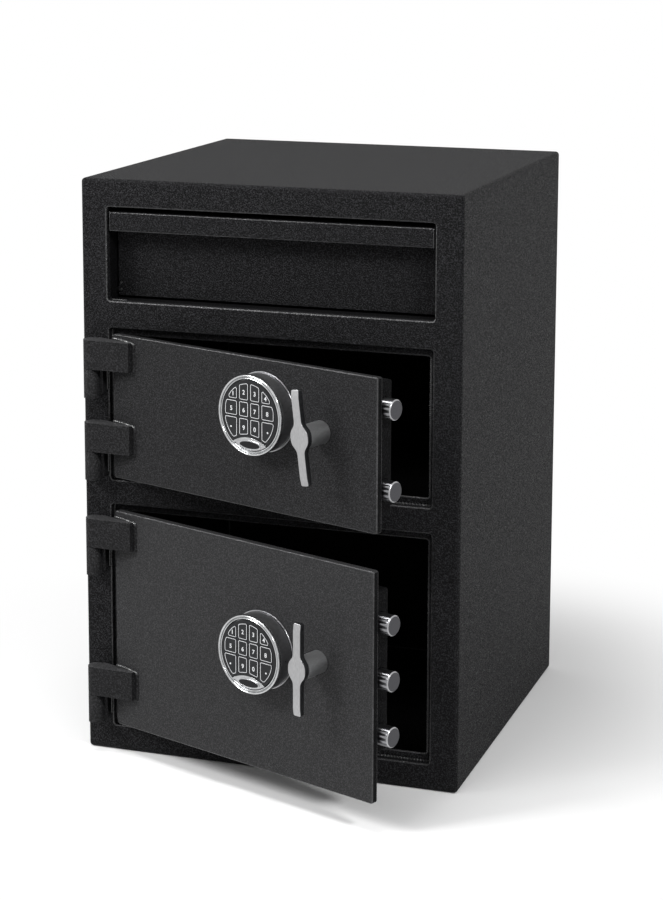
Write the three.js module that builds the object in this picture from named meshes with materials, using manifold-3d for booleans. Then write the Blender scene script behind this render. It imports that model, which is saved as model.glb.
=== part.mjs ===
// Drop safe with a tilt-out deposit drawer above two locked compartments.
// Millimetres, +Z up. The origin is the middle of the base and the front faces -Y.
// The doors stand part open, as they are shown, with their bolts out and the drawer shut.

import * as THREE from 'three';
import { mergeVertices } from 'three/addons/utils/BufferGeometryUtils.js';
import Module from 'manifold-3d';

const wasm = await Module();
wasm.setup();

// Fits shared by all pieces
const seatGap = 0.3;
const joinOverlap = 0.3;
const cutOverrun = 4;
const roundSides = 32;
const fineSides = 64;
const smallSides = 20;
const cornerSteps = 4;
const arcSteps = 10;

// Openings and what the doors carry are set out to this step
const settingStep = 0.5;

// Vertices lie on this fine grid, so that faces meant to be flush are exactly flush
const vertexGrid = 0.0009765625;

// Cabinet
const cabinetWidth = 508;
const cabinetDepth = 508;
const cabinetHeight = 762;
const wallThickness = 4.8;
const backThickness = 4.8;
const cornerRadius = 8;
const edgeRadius = 6;
const edgeSteps = 3;
const anchorHoleRadius = 7;
const anchorInset = 90;

// Front frame: bars, jambs, and how the three openings share the height between the bars
const frameThickness = 10;
const topBarHeight = 36;
const drawerSillHeight = 35.5;
const middleBarHeight = 33;
const bottomBarHeight = 34.5;
const drawerJambWidth = 35.5;
const doorJambWidth = 37;
const drawerOpeningShare = 0.195;
const upperOpeningShare = 0.3217;
const openingCornerRadius = 4;
const stopThickness = 2.7;
const stopLap = 12;
const stopLedgeHinge = 12;
const stopLedgeLatch = 6;
const stopLedgeEnds = 10.5;
const shelfThickness = 4.8;

// Doors
const doorThickness = 9.5;
const doorGapHinge = 6;
const doorGapLatch = 1.2;
const doorGapEnds = 5.5;
const doorCornerRadius = 3;
const upperOpenDegrees = 19.7;
const lowerOpenDegrees = 20.4;

// Weld-on hinges: a teardrop strap on the door above a knuckle with a fixed pin on the frame
const hingeAxisFromSide = 19;
const hingeAxisProud = 14;
const barrelRadius = 11;
const pinRadius = 6;
const pinClearance = 0.3;
const pinCover = 10;
const leafShare = 0.2005;
const strapReach = 34;
const strapEndThickness = 8;
const knuckleWebReach = 15;
const knuckleWebCorner = 10;
const hingeGap = 0.5;
const upperStrapDropShare = 0.0396;
const upperStrapRiseShare = 0.1873;
const lowerStrapDropShare = 0.0345;
const lowerStrapRiseShare = 0.1413;

// Keypads, placed up each door by a share of its height
const keypadFromHandle = 89.5;
const upperKeypadShare = 0.6554;
const lowerKeypadShare = 0.542;
const keypadRadius = 50;
const keypadDepth = 28;
const keypadFlange = 1.5;
const keypadRimRadius = 2.5;
const keypadRimDepth = 5;
const keypadWaist = 1.2;
const faceRadius = 43;
const facePocketDepth = 6;
const faceDrop = 1;
const faceThickness = 2.2;
const faceGap = 0.4;
const badgeArcRadius = 49;
const badgeArcTop = 27.5;
const keyFieldRadius = 39.5;
const keyInnerWidth = 14.2;
const keyColumnGap = 3.5;
const keyRowGap = 2.1;
const keyRowHeight = 18.5;
const keyRowMiddle = 6.75;
const keyBadgeGap = 3.5;
const keyHeight = 2.4;
const keyProud = 0.7;
const keyClearance = 0.35;
const cableHoleRadius = 5;

// Handles
const handleFromLatchEdge = 84.3;
const upperHandleShare = 0.591;
const lowerHandleShare = 0.5544;
const handleLength = 118;
const handleBarWidth = 10.4;
const handleBarThickness = 8;
const handleHubRadius = 15;
const handleHubBlend = 8;
const handleHubArcDegrees = 45;
const handleStandoff = 42;
const shaftRadius = 14.3;
const spindleRadius = 8;
const spindleClearance = 0.5;
const handleTurnDegrees = 50;
const upperHandleRestDegrees = 8;
const lowerHandleRestDegrees = 0;

// Bolt work behind each door plate
const boltRadius = 12.7;
const boltThrow = 20.36;
const boltReach = 11.3;
const boltDepth = 26;
const boltChamfer = 1.2;
const boltHoleClearance = 0.5;
const upperBoltMiddleShare = 0.5156;
const upperBoltPitchShare = 0.5245;
const upperBoltCount = 2;
const lowerBoltMiddleShare = 0.5152;
const lowerBoltPitchShare = 0.2416;
const lowerBoltCount = 3;
const barThickness = 10;
const barDepth = 20;
const barEndMargin = 14;
const barRunClearance = 1.5;
const camThickness = 5;
const camWidth = 16;
const camGap = 2;
const camTipMargin = 7;
const lugRadius = 4;
const slotClearance = 0.6;
const driveTabHeight = 22;
const driveTabThickness = 5;
const driveTabMargin = 8;

// Bolt housing: a folded steel cover
const housingSheet = 2;
const housingClearance = 0.8;
const housingLatchInset = 9.7;
const housingWidth = 266.3;
const upperHousingShares = [0.079, 0.9493];
const lowerHousingShares = [0.194, 0.8946];

// Electronic locks inside the housings
const lockCaseWidth = 84;
const lockCaseHeight = 60;
const lockCaseThickness = 24;
const lockBoltWidth = 12;
const lockBoltThickness = 10;
const lockBoltLength = 18;
const lockBoltThrow = 9.5;
const lockBoltInset = 10;
const lockBoltSink = 0.5;
const lockPocketSlack = 0.3;
const lockArmGap = 1.5;
const lockArmHeight = 8;
const lockArmSlack = 5.3;

// Deposit drawer and the drop housing round it
const panelSetback = 30;
const panelThickness = 3;
const panelBottomGap = 2.5;
const panelSideGap = 3.5;
const lipSetback = 2.5;
const lipTopGap = 6.5;
const lipHeight = 24.7;
const lipThickness = 2.5;
const pivotRise = 9.5;
const pivotPinRadius = 4;
const pivotPinClearance = 0.4;
const cheekSideGap = 5;
const cheekThickness = 2;
const cheekTopGap = 7;
const trayThickness = 2;
const trayDrop = 4;
const traySlopeDegrees = 24;
const dropSheet = 2;
const roofGap = 0.5;
const baffleEndDegrees = 24;
const chuteGap = 4;
const dropSideOverhang = 6;

// Places that follow from the sizes
const frontY = -cabinetDepth / 2;
const frameBackY = frontY + frameThickness;
const backInnerY = cabinetDepth / 2 - backThickness;
const innerHalfWidth = cabinetWidth / 2 - wallThickness;
const barHeights = topBarHeight + drawerSillHeight + middleBarHeight + bottomBarHeight;
const openingHeights = cabinetHeight - barHeights;
const drawerOpeningWidth = cabinetWidth - drawerJambWidth * 2;
const doorOpeningWidth = cabinetWidth - doorJambWidth * 2;
const drawerTopZ = cabinetHeight - topBarHeight;
const drawerBottomZ = drawerTopZ - setOut(openingHeights * drawerOpeningShare);
const upperTopZ = drawerBottomZ - drawerSillHeight;
const upperBottomZ = upperTopZ - setOut(openingHeights * upperOpeningShare);
const lowerTopZ = upperBottomZ - middleBarHeight;
const lowerBottomZ = bottomBarHeight;
const hingeX = hingeAxisFromSide - cabinetWidth / 2;
const hingeY = frontY - hingeAxisProud;
const leafHeight = setOut((upperTopZ - upperBottomZ - doorGapEnds * 2) * leafShare);
const pinReach = leafHeight - pinCover;
const hingeEdgeX = doorGapHinge - doorOpeningWidth / 2 - hingeX;
const doorWidth = doorOpeningWidth - doorGapHinge - doorGapLatch;
const doorFrontY = hingeAxisProud;
const doorBackY = doorFrontY + doorThickness;
const latchEdgeX = hingeEdgeX + doorWidth;
const boltY = doorFrontY + boltDepth;
const housingBackY = boltY + boltRadius + housingClearance + housingSheet;
const housingLatchX = latchEdgeX - housingLatchInset;
const handleX = latchEdgeX - handleFromLatchEdge;
const keypadX = handleX - keypadFromHandle;
const halfTurn = THREE.MathUtils.degToRad(handleTurnDegrees / 2);
const camRadius = boltThrow / (2 * Math.sin(halfTurn));
const pivotY = frontY + panelSetback + panelThickness;
const pivotZ = drawerBottomZ + pivotRise;
const traySlope = THREE.MathUtils.degToRad(traySlopeDegrees);
const cheekRadius = drawerTopZ - cheekTopGap - pivotZ;
const roofRadius = drawerTopZ + roofGap - pivotZ;

// Finishes
const textureBlack = { color: 0x26262a, roughness: 0.62, metalness: 0.25 };
const plainSteel = { color: 0xa9aaac, roughness: 0.38, metalness: 0.9 };
const darkChrome = { color: 0x6d6e72, roughness: 0.16, metalness: 1 };
const satinSteel = { color: 0xbfc0c2, roughness: 0.4, metalness: 0.85 };
const zincSteel = { color: 0x8f9396, roughness: 0.5, metalness: 0.8 };
const keypadBlack = { color: 0x17181b, roughness: 0.5, metalness: 0 };
const keyRubber = { color: 0x2b2c30, roughness: 0.6, metalness: 0 };
const lockGrey = { color: 0x7c7f83, roughness: 0.55, metalness: 0.6 };

// A length rounded to the step that openings and fittings are set out to
function setOut(length) {
  return Math.round(length / settingStep) * settingStep;
}

// A closed geometry as a solid that can be joined and cut
function solidOf(geometry) {
  geometry.deleteAttribute('normal');
  geometry.deleteAttribute('uv');
  const merged = mergeVertices(geometry);
  const onGrid = (value) => Math.round(value / vertexGrid) * vertexGrid;
  return new wasm.Manifold(new wasm.Mesh({
    numProp: 3,
    vertProperties: Float32Array.from(merged.attributes.position.array, onGrid),
    triVerts: Uint32Array.from(merged.index.array),
  }));
}

// A named mesh made from a finished solid
function meshOf(name, solid, finish) {
  const { vertProperties, triVerts } = solid.getMesh();
  const geometry = new THREE.BufferGeometry();
  geometry.setAttribute('position', new THREE.BufferAttribute(Float32Array.from(vertProperties), 3));
  geometry.setIndex(Array.from(triVerts));
  geometry.computeVertexNormals();
  const mesh = new THREE.Mesh(geometry, new THREE.MeshStandardMaterial(finish));
  mesh.name = name;
  return mesh;
}

// A box between two values on each axis
function block([x0, x1], [y0, y1], [z0, z1]) {
  const geometry = new THREE.BoxGeometry(x1 - x0, y1 - y0, z1 - z0);
  geometry.translate((x0 + x1) / 2, (y0 + y1) / 2, (z0 + z1) / 2);
  return solidOf(geometry);
}

// A round bar along X, Y or Z, from one value to another on that axis
function roundBar(axis, radius, [from, to], [a, b], sides = roundSides) {
  const geometry = new THREE.CylinderGeometry(radius, radius, to - from, sides);
  const middle = (from + to) / 2;
  if (axis === 'x') {
    geometry.rotateZ(-Math.PI / 2);
    geometry.translate(middle, a, b);
  } else if (axis === 'y') {
    geometry.translate(a, middle, b);
  } else {
    geometry.rotateX(Math.PI / 2);
    geometry.translate(a, b, middle);
  }
  return solidOf(geometry);
}

// An outline in X and Z, drawn out along Y
function prismY(shape, [y0, y1]) {
  const geometry = new THREE.ExtrudeGeometry(shape, {
    depth: y1 - y0,
    bevelEnabled: false,
    curveSegments: cornerSteps,
  });
  geometry.rotateX(Math.PI / 2);
  geometry.translate(0, y1, 0);
  return solidOf(geometry);
}

// An outline in Y and Z, drawn out along X
function prismX(shape, [x0, x1]) {
  const geometry = new THREE.ExtrudeGeometry(shape, {
    depth: x1 - x0,
    bevelEnabled: false,
    curveSegments: arcSteps,
  });
  const turn = new THREE.Matrix4().makeBasis(
    new THREE.Vector3(0, 1, 0),
    new THREE.Vector3(0, 0, 1),
    new THREE.Vector3(1, 0, 0),
  );
  geometry.applyMatrix4(turn);
  geometry.translate(x0, 0, 0);
  return solidOf(geometry);
}

// An outline in X and Y, drawn up along Z
function prismZ(shape, [z0, z1]) {
  const geometry = new THREE.ExtrudeGeometry(shape, { depth: z1 - z0, bevelEnabled: false });
  geometry.translate(0, 0, z0);
  return solidOf(geometry);
}

// A profile of radius and height, turned about the Y axis
function turnedProfile(profile) {
  const points = profile.map(([radius, height]) => new THREE.Vector2(radius, height));
  return new THREE.LatheGeometry(points, roundSides);
}

// A rectangle with round corners between two values on each axis
function roundedRectangle([x0, x1], [z0, z1], radius) {
  const shape = new THREE.Shape();
  shape.moveTo(x0 + radius, z0);
  shape.lineTo(x1 - radius, z0);
  shape.absarc(x1 - radius, z0 + radius, radius, -Math.PI / 2, 0, false);
  shape.lineTo(x1, z1 - radius);
  shape.absarc(x1 - radius, z1 - radius, radius, 0, Math.PI / 2, false);
  shape.lineTo(x0 + radius, z1);
  shape.absarc(x0 + radius, z1 - radius, radius, Math.PI / 2, Math.PI, false);
  shape.lineTo(x0, z0 + radius);
  shape.absarc(x0 + radius, z0 + radius, radius, Math.PI, Math.PI * 1.5, false);
  return shape;
}

// The outline that the body, the frame and the back share
function cabinetOutline(inset = 0) {
  const half = cabinetWidth / 2 - inset;
  return roundedRectangle([-half, half], [inset, cabinetHeight - inset], cornerRadius);
}

// A cabinet-sized plate whose outer edges are rounded on one side
function roundedPlate(thickness) {
  const geometry = new THREE.ExtrudeGeometry(cabinetOutline(), {
    depth: thickness,
    curveSegments: cornerSteps,
    bevelThickness: edgeRadius,
    bevelSize: edgeRadius,
    bevelOffset: -edgeRadius,
    bevelSegments: edgeSteps,
  });
  geometry.rotateX(Math.PI / 2);
  return solidOf(geometry);
}

function cabinetBody() {
  const y = [frameBackY, backInnerY];
  const outer = prismY(cabinetOutline(), y);
  const inside = block(
    [-innerHalfWidth, innerHalfWidth],
    [y[0] - cutOverrun, y[1] + cutOverrun],
    [wallThickness, cabinetHeight - wallThickness],
  );
  let body = outer.subtract(inside);
  for (const sideX of [-1, 1]) {
    for (const sideY of [-1, 1]) {
      const x = sideX * (cabinetWidth / 2 - anchorInset);
      const yHole = sideY * (cabinetDepth / 2 - anchorInset);
      const reach = [-cutOverrun, wallThickness + cutOverrun];
      body = body.subtract(roundBar('z', anchorHoleRadius, reach, [x, yHole], smallSides));
    }
  }
  return meshOf('cabinet_body', body, textureBlack);
}

function backPanel() {
  const plate = roundedPlate(backThickness).translate([0, cabinetDepth / 2 - edgeRadius, 0]);
  const half = cabinetWidth / 2 + cutOverrun;
  const keep = block(
    [-half, half],
    [backInnerY + seatGap, cabinetDepth / 2 + cutOverrun],
    [-cutOverrun, cabinetHeight + cutOverrun],
  );
  return meshOf('back_panel', plate.intersect(keep), textureBlack);
}

function doorOpening(bottomZ, topZ) {
  const half = doorOpeningWidth / 2;
  const outline = roundedRectangle([-half, half], [bottomZ, topZ], openingCornerRadius);
  const step = roundedRectangle(
    [stopLedgeHinge - half, half - stopLedgeLatch],
    [bottomZ + stopLedgeEnds, topZ - stopLedgeEnds],
    openingCornerRadius,
  );
  const rebate = prismY(outline, [frontY - cutOverrun, frameBackY]);
  return rebate.add(prismY(step, [frontY, frameBackY + stopThickness + cutOverrun]));
}

// One plate with a thinner stop standing behind each door opening
function frontFrame() {
  const plate = roundedPlate(frameThickness).translate([0, frontY + frameThickness + edgeRadius, 0]);
  const half = cabinetWidth / 2 + cutOverrun;
  const keep = block(
    [-half, half],
    [frontY - cutOverrun, frameBackY - seatGap],
    [-cutOverrun, cabinetHeight + cutOverrun],
  );
  const stopHalf = innerHalfWidth - seatGap;
  const stops = block(
    [-stopHalf, stopHalf],
    [frameBackY - seatGap - joinOverlap, frameBackY + stopThickness],
    [wallThickness + seatGap, upperTopZ + stopLap],
  );
  const drawerHalf = drawerOpeningWidth / 2;
  const drawerHole = prismY(
    roundedRectangle([-drawerHalf, drawerHalf], [drawerBottomZ, drawerTopZ], openingCornerRadius),
    [frontY - cutOverrun, frameBackY + cutOverrun],
  );
  const frame = plate.intersect(keep)
    .add(stops)
    .subtract(drawerHole)
    .subtract(doorOpening(upperBottomZ, upperTopZ))
    .subtract(doorOpening(lowerBottomZ, lowerTopZ));
  return meshOf('front_frame', frame, textureBlack);
}

function dividerShelf() {
  const half = innerHalfWidth - seatGap;
  const middleZ = (lowerTopZ + upperBottomZ) / 2;
  const shelf = block(
    [-half, half],
    [frameBackY + stopThickness + seatGap, backInnerY - seatGap],
    [middleZ - shelfThickness / 2, middleZ + shelfThickness / 2],
  );
  return meshOf('divider_shelf', shelf, textureBlack);
}

// A point on a circle about the drawer's pivot, seen from +X: 0 points back, 90 degrees up
function aboutPivot(radius, angle) {
  return [pivotY + radius * Math.cos(angle), pivotZ + radius * Math.sin(angle)];
}

// A line on the tray's slope: how far it lies below the pivot, and how far back it is followed
function belowPivot(drop, along) {
  const y = pivotY + along * Math.cos(traySlope) - drop * Math.sin(traySlope);
  const z = pivotZ - along * Math.sin(traySlope) - drop * Math.cos(traySlope);
  return [y, z];
}

// Roof and curved baffle: the drawer's tray meets its lower edge when the drawer is out
function dropRoof() {
  const end = THREE.MathUtils.degToRad(baffleEndDegrees);
  const shape = new THREE.Shape();
  const front = frameBackY + seatGap;
  shape.moveTo(front, pivotZ + roofRadius);
  shape.lineTo(pivotY, pivotZ + roofRadius);
  shape.absarc(pivotY, pivotZ, roofRadius, Math.PI / 2, end, true);
  shape.lineTo(...aboutPivot(roofRadius + dropSheet, end));
  shape.absarc(pivotY, pivotZ, roofRadius + dropSheet, end, Math.PI / 2, false);
  shape.lineTo(front, pivotZ + roofRadius + dropSheet);
  return shape;
}

// Sill and sloped chute below the tray
function dropChute() {
  const shape = new THREE.Shape();
  const front = frameBackY + seatGap;
  const drop = trayDrop + trayThickness + chuteGap;
  const [endY, endZ] = belowPivot(drop, cheekRadius);
  const bendY = endY - (drawerBottomZ - endZ) / Math.tan(traySlope);
  const sheetBelow = dropSheet / Math.cos(traySlope);
  shape.moveTo(front, drawerBottomZ);
  shape.lineTo(bendY, drawerBottomZ);
  shape.lineTo(endY, endZ);
  shape.lineTo(endY, endZ - sheetBelow);
  shape.lineTo(bendY, drawerBottomZ - sheetBelow);
  shape.lineTo(front, drawerBottomZ - sheetBelow);
  return shape;
}

function dropSide() {
  const shape = new THREE.Shape();
  const front = frameBackY + seatGap;
  const drop = trayDrop + trayThickness + chuteGap + dropSheet;
  const [endY, endZ] = belowPivot(drop, cheekRadius);
  const bendY = endY - (drawerBottomZ - endZ) / Math.tan(traySlope);
  const backY = endY + dropSideOverhang;
  shape.moveTo(front, drawerBottomZ - dropSheet);
  shape.lineTo(bendY, drawerBottomZ - dropSheet);
  shape.lineTo(endY, endZ - dropSheet);
  shape.lineTo(backY, endZ - dropSheet);
  shape.lineTo(backY, pivotZ + roofRadius + dropSheet);
  shape.lineTo(front, pivotZ + roofRadius + dropSheet);
  return shape;
}

function dropHousing() {
  const half = drawerOpeningWidth / 2;
  const across = [-half - dropSheet, half + dropSheet];
  let housing = prismX(dropRoof(), across).add(prismX(dropChute(), across));
  for (const x of [[-half - dropSheet, -half], [half, half + dropSheet]]) {
    housing = housing.add(prismX(dropSide(), x));
  }
  const holeRadius = pivotPinRadius + pivotPinClearance;
  const reach = [across[0] - cutOverrun, across[1] + cutOverrun];
  const hole = roundBar('x', holeRadius, reach, [pivotY, pivotZ], smallSides);
  return meshOf('drop_housing', housing.subtract(hole), textureBlack);
}

// Drawer front with its top folded forward and down into the pull lip
function drawerFront() {
  const panelFront = frontY + panelSetback;
  const panelBack = panelFront + panelThickness;
  const lipFront = frontY + lipSetback;
  const lipTop = drawerTopZ - lipTopGap;
  const shape = new THREE.Shape();
  shape.moveTo(panelFront, drawerBottomZ + panelBottomGap);
  shape.lineTo(panelBack, drawerBottomZ + panelBottomGap);
  shape.lineTo(panelBack, lipTop);
  shape.lineTo(lipFront, lipTop);
  shape.lineTo(lipFront, lipTop - lipHeight);
  shape.lineTo(lipFront + lipThickness, lipTop - lipHeight);
  shape.lineTo(lipFront + lipThickness, lipTop - lipThickness);
  shape.lineTo(panelFront, lipTop - lipThickness);
  const half = drawerOpeningWidth / 2 - panelSideGap;
  return meshOf('drawer_front', prismX(shape, [-half, half]), textureBlack);
}

// A side cheek: a sector from the drawer front round to the tray
function cheekOutline() {
  const shape = new THREE.Shape();
  const front = pivotY + seatGap;
  const topAngle = Math.acos(seatGap / cheekRadius);
  const [startY, startZ] = belowPivot(trayDrop + trayThickness, 0);
  const slopeBack = (front - startY) * Math.tan(traySlope);
  const bottomAngle = -traySlope - Math.asin((trayDrop + trayThickness) / cheekRadius);
  shape.moveTo(front, startZ - slopeBack);
  shape.lineTo(...aboutPivot(cheekRadius, bottomAngle));
  shape.absarc(pivotY, pivotZ, cheekRadius, bottomAngle, topAngle, false);
  return shape;
}

function trayOutline() {
  const shape = new THREE.Shape();
  const front = pivotY + seatGap;
  const [startY, startZ] = belowPivot(trayDrop + trayThickness, 0);
  const [topY, topZ] = belowPivot(trayDrop, 0);
  const bottomAngle = -traySlope - Math.asin((trayDrop + trayThickness) / cheekRadius);
  const topAngle = -traySlope - Math.asin(trayDrop / cheekRadius);
  shape.moveTo(front, startZ - (front - startY) * Math.tan(traySlope));
  shape.lineTo(...aboutPivot(cheekRadius, bottomAngle));
  shape.lineTo(...aboutPivot(cheekRadius, topAngle));
  shape.lineTo(front, topZ - (front - topY) * Math.tan(traySlope));
  return shape;
}

// Sloped tray between its two cheeks, each with a pivot pin that reaches through the housing
function drawerTray() {
  const outer = drawerOpeningWidth / 2 - cheekSideGap;
  const pinEnd = drawerOpeningWidth / 2 + dropSheet;
  let tray = prismX(trayOutline(), [-outer, outer]);
  for (const side of [-1, 1]) {
    const across = (from, to) => [side * from, side * to].sort((a, b) => a - b);
    const cheek = prismX(cheekOutline(), across(outer - cheekThickness, outer));
    const pin = roundBar('x', pivotPinRadius, across(outer, pinEnd), [pivotY, pivotZ], smallSides);
    tray = tray.add(cheek).add(pin.subtract(panelReach()));
  }
  return meshOf('drawer_tray', tray, textureBlack);
}

// The space that the drawer front takes, which the pivot pins stay out of
function panelReach() {
  const half = drawerOpeningWidth / 2 - panelSideGap + seatGap;
  return block([-half, half], [frontY, pivotY + seatGap], [drawerBottomZ, drawerTopZ]);
}

// Frame side of a hinge: a barrel on a welded web, with a fixed pin that stands up out of it
function frameKnuckle(name, topZ) {
  const z = [topZ - leafHeight, topZ];
  const end = hingeX + knuckleWebReach;
  const barrel = roundBar('z', barrelRadius, z, [hingeX, hingeY]);
  const shape = new THREE.Shape();
  shape.moveTo(hingeX - barrelRadius, z[1]);
  shape.lineTo(hingeX - barrelRadius, z[0]);
  shape.lineTo(end - knuckleWebCorner, z[0]);
  shape.lineTo(end, z[0] + knuckleWebCorner);
  shape.lineTo(end, z[1]);
  const web = prismY(shape, [hingeY, frontY - seatGap]);
  const pin = roundBar('z', pinRadius, [z[0], topZ + pinReach], [hingeX, hingeY], smallSides);
  return meshOf(name, barrel.add(web).add(pin), textureBlack);
}

// Door side of a hinge, in the door's own frame, whose Z axis is the hinge. Its front runs
// straight from the barrel to a thin end, which is welded to the door.
function hingeStrap(name, bottomZ) {
  const z = [bottomZ, bottomZ + leafHeight];
  const end = new THREE.Vector2(hingeEdgeX + strapReach, doorFrontY - strapEndThickness);
  const touch = end.angle() - Math.acos(barrelRadius / end.length());
  const shape = new THREE.Shape();
  shape.moveTo(0, 0);
  shape.lineTo(barrelRadius * Math.cos(touch), barrelRadius * Math.sin(touch));
  shape.lineTo(end.x, end.y);
  shape.lineTo(end.x, doorFrontY - seatGap);
  shape.lineTo(0, doorFrontY - seatGap);
  const boreZ = [bottomZ - cutOverrun, bottomZ + pinReach + hingeGap];
  const bore = roundBar('z', pinRadius + pinClearance, boreZ, [0, 0], smallSides);
  const strap = roundBar('z', barrelRadius, z, [0, 0]).add(prismZ(shape, z));
  return meshOf(name, strap.subtract(bore), textureBlack);
}

function doorPlate(name, door) {
  const across = [hingeEdgeX, latchEdgeX];
  const outline = roundedRectangle(across, [door.bottom, door.top], doorCornerRadius);
  const through = [doorFrontY - cutOverrun, doorBackY + cutOverrun];
  const spindleHole = spindleRadius + spindleClearance;
  const plate = prismY(outline, [doorFrontY, doorBackY])
    .subtract(roundBar('y', spindleHole, through, [handleX, door.handleZ], smallSides))
    .subtract(roundBar('y', cableHoleRadius, through, [keypadX, door.keypadZ], smallSides));
  return meshOf(name, plate, textureBlack);
}

function boltHousing(name, door) {
  const outerX = [housingLatchX - housingWidth, housingLatchX];
  const outer = block(
    outerX,
    [doorBackY + seatGap, housingBackY],
    [door.housingBottom, door.housingTop],
  );
  const inner = block(
    [outerX[0] + housingSheet, outerX[1] - housingSheet],
    [doorBackY - cutOverrun, housingBackY - housingSheet],
    [door.housingBottom + housingSheet, door.housingTop - housingSheet],
  );
  let housing = outer.subtract(inner);
  const through = [housingLatchX - housingSheet - cutOverrun, housingLatchX + cutOverrun];
  for (const z of door.boltZ) {
    housing = housing.subtract(roundBar('x', boltRadius + boltHoleClearance, through, [boltY, z]));
  }
  return meshOf(name, housing, textureBlack);
}

// How far the bolts are drawn in when the handle has turned by an angle in degrees
function drawnIn(degrees) {
  return boltThrow * degrees / handleTurnDegrees;
}

// The bar's left face when the bolts are fully out: it just clears the spindle when drawn in
function barLeftX() {
  return handleX + spindleRadius + boltThrow + barRunClearance;
}

// The back of everything on the bar that passes in front of the handle's cam
function tabBackY() {
  return boltY + barDepth / 2 - camThickness - camGap;
}

// The heights that the handle's lug moves between, as it swings across the top of its turn
function lugTravelZ(door) {
  return [door.handleZ + camRadius * Math.cos(halfTurn), door.handleZ + camRadius];
}

// The part of the bar that the handle's lug drives
function driveTab(door) {
  const [low, high] = lugTravelZ(door);
  const middleZ = (low + high) / 2;
  const lugX = handleX + camRadius * Math.sin(halfTurn);
  const left = lugX - lugRadius - slotClearance - driveTabMargin;
  return block(
    [left, barLeftX()],
    [tabBackY() - driveTabThickness, tabBackY()],
    [middleZ - driveTabHeight / 2, middleZ + driveTabHeight / 2],
  );
}

// The upright slot that the lug slides in
function lugSlot(door) {
  const [low, high] = lugTravelZ(door);
  const lugX = handleX + camRadius * Math.sin(halfTurn);
  const half = lugRadius + slotClearance;
  const y = [tabBackY() - driveTabThickness - cutOverrun, tabBackY() + cutOverrun];
  return block([lugX - half, lugX + half], y, [low - half, high + half]);
}

function lockArmZ(door) {
  const bottom = door.keypadZ + lockCaseHeight / 2 + lockArmGap;
  return [bottom, bottom + lockArmHeight];
}

function lockBoltX() {
  const right = keypadX + lockCaseWidth / 2 - lockBoltInset;
  return [right - lockBoltWidth, right];
}

function lockBoltY() {
  return [boltY - lockBoltThickness / 2, boltY + lockBoltThickness / 2];
}

// The bar that carries a door's bolts, with the arm that its lock bolt stops
function boltBar(name, door) {
  const armZ = lockArmZ(door);
  const bottom = door.boltZ[0] - barEndMargin;
  const top = Math.max(door.boltZ.at(-1) + barEndMargin, armZ[1]);
  const left = barLeftX();
  const strip = block(
    [left, left + barThickness],
    [boltY - barDepth / 2, boltY + barDepth / 2],
    [bottom, top],
  );
  const arm = block([lockBoltX()[1] + lockArmSlack, left], [lockBoltY()[0], tabBackY()], armZ);
  const bar = driveTab(door).add(arm).subtract(lugSlot(door)).add(strip);
  return meshOf(name, bar.translate([-drawnIn(door.restDegrees), 0, 0]), zincSteel);
}

function roundBolt(name, door, z) {
  const start = barLeftX() + barThickness + seatGap - drawnIn(door.restDegrees);
  const length = latchEdgeX + boltReach - drawnIn(door.restDegrees) - start;
  const geometry = turnedProfile([
    [0, 0],
    [boltRadius, 0],
    [boltRadius, length - boltChamfer],
    [boltRadius - boltChamfer, length],
    [0, length],
  ]);
  geometry.rotateZ(-Math.PI / 2);
  geometry.translate(start, boltY, z);
  return meshOf(name, solidOf(geometry), plainSteel);
}

// Front outline of a handle: a bar with a round hub that blends into it
function handleOutline() {
  const halfLength = handleLength / 2;
  const halfWidth = handleBarWidth / 2;
  const hubEnd = Math.sqrt(handleHubRadius ** 2 - halfWidth ** 2);
  const blend = hubEnd + handleHubBlend;
  const hubAngle = THREE.MathUtils.degToRad(handleHubArcDegrees);
  const hubX = handleHubRadius * Math.cos(hubAngle);
  const hubZ = handleHubRadius * Math.sin(hubAngle);
  const shape = new THREE.Shape();
  shape.moveTo(halfWidth, -halfLength);
  shape.lineTo(halfWidth, -blend);
  shape.quadraticCurveTo(halfWidth, -hubEnd, hubX, -hubZ);
  shape.absarc(0, 0, handleHubRadius, -hubAngle, hubAngle, false);
  shape.quadraticCurveTo(halfWidth, hubEnd, halfWidth, blend);
  shape.lineTo(halfWidth, halfLength);
  shape.lineTo(-halfWidth, halfLength);
  shape.lineTo(-halfWidth, blend);
  shape.quadraticCurveTo(-halfWidth, hubEnd, -hubX, hubZ);
  shape.absarc(0, 0, handleHubRadius, Math.PI - hubAngle, Math.PI + hubAngle, false);
  shape.quadraticCurveTo(-halfWidth, -hubEnd, -halfWidth, -blend);
  shape.lineTo(-halfWidth, -halfLength);
  return shape;
}

function camOutline() {
  const half = camWidth / 2;
  const tip = camRadius + camTipMargin - half;
  const shape = new THREE.Shape();
  shape.moveTo(half, 0);
  shape.lineTo(half, tip);
  shape.absarc(0, tip, half, 0, Math.PI, false);
  shape.lineTo(-half, 0);
  shape.absarc(0, 0, half, Math.PI, Math.PI * 2, false);
  return shape;
}

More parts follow.
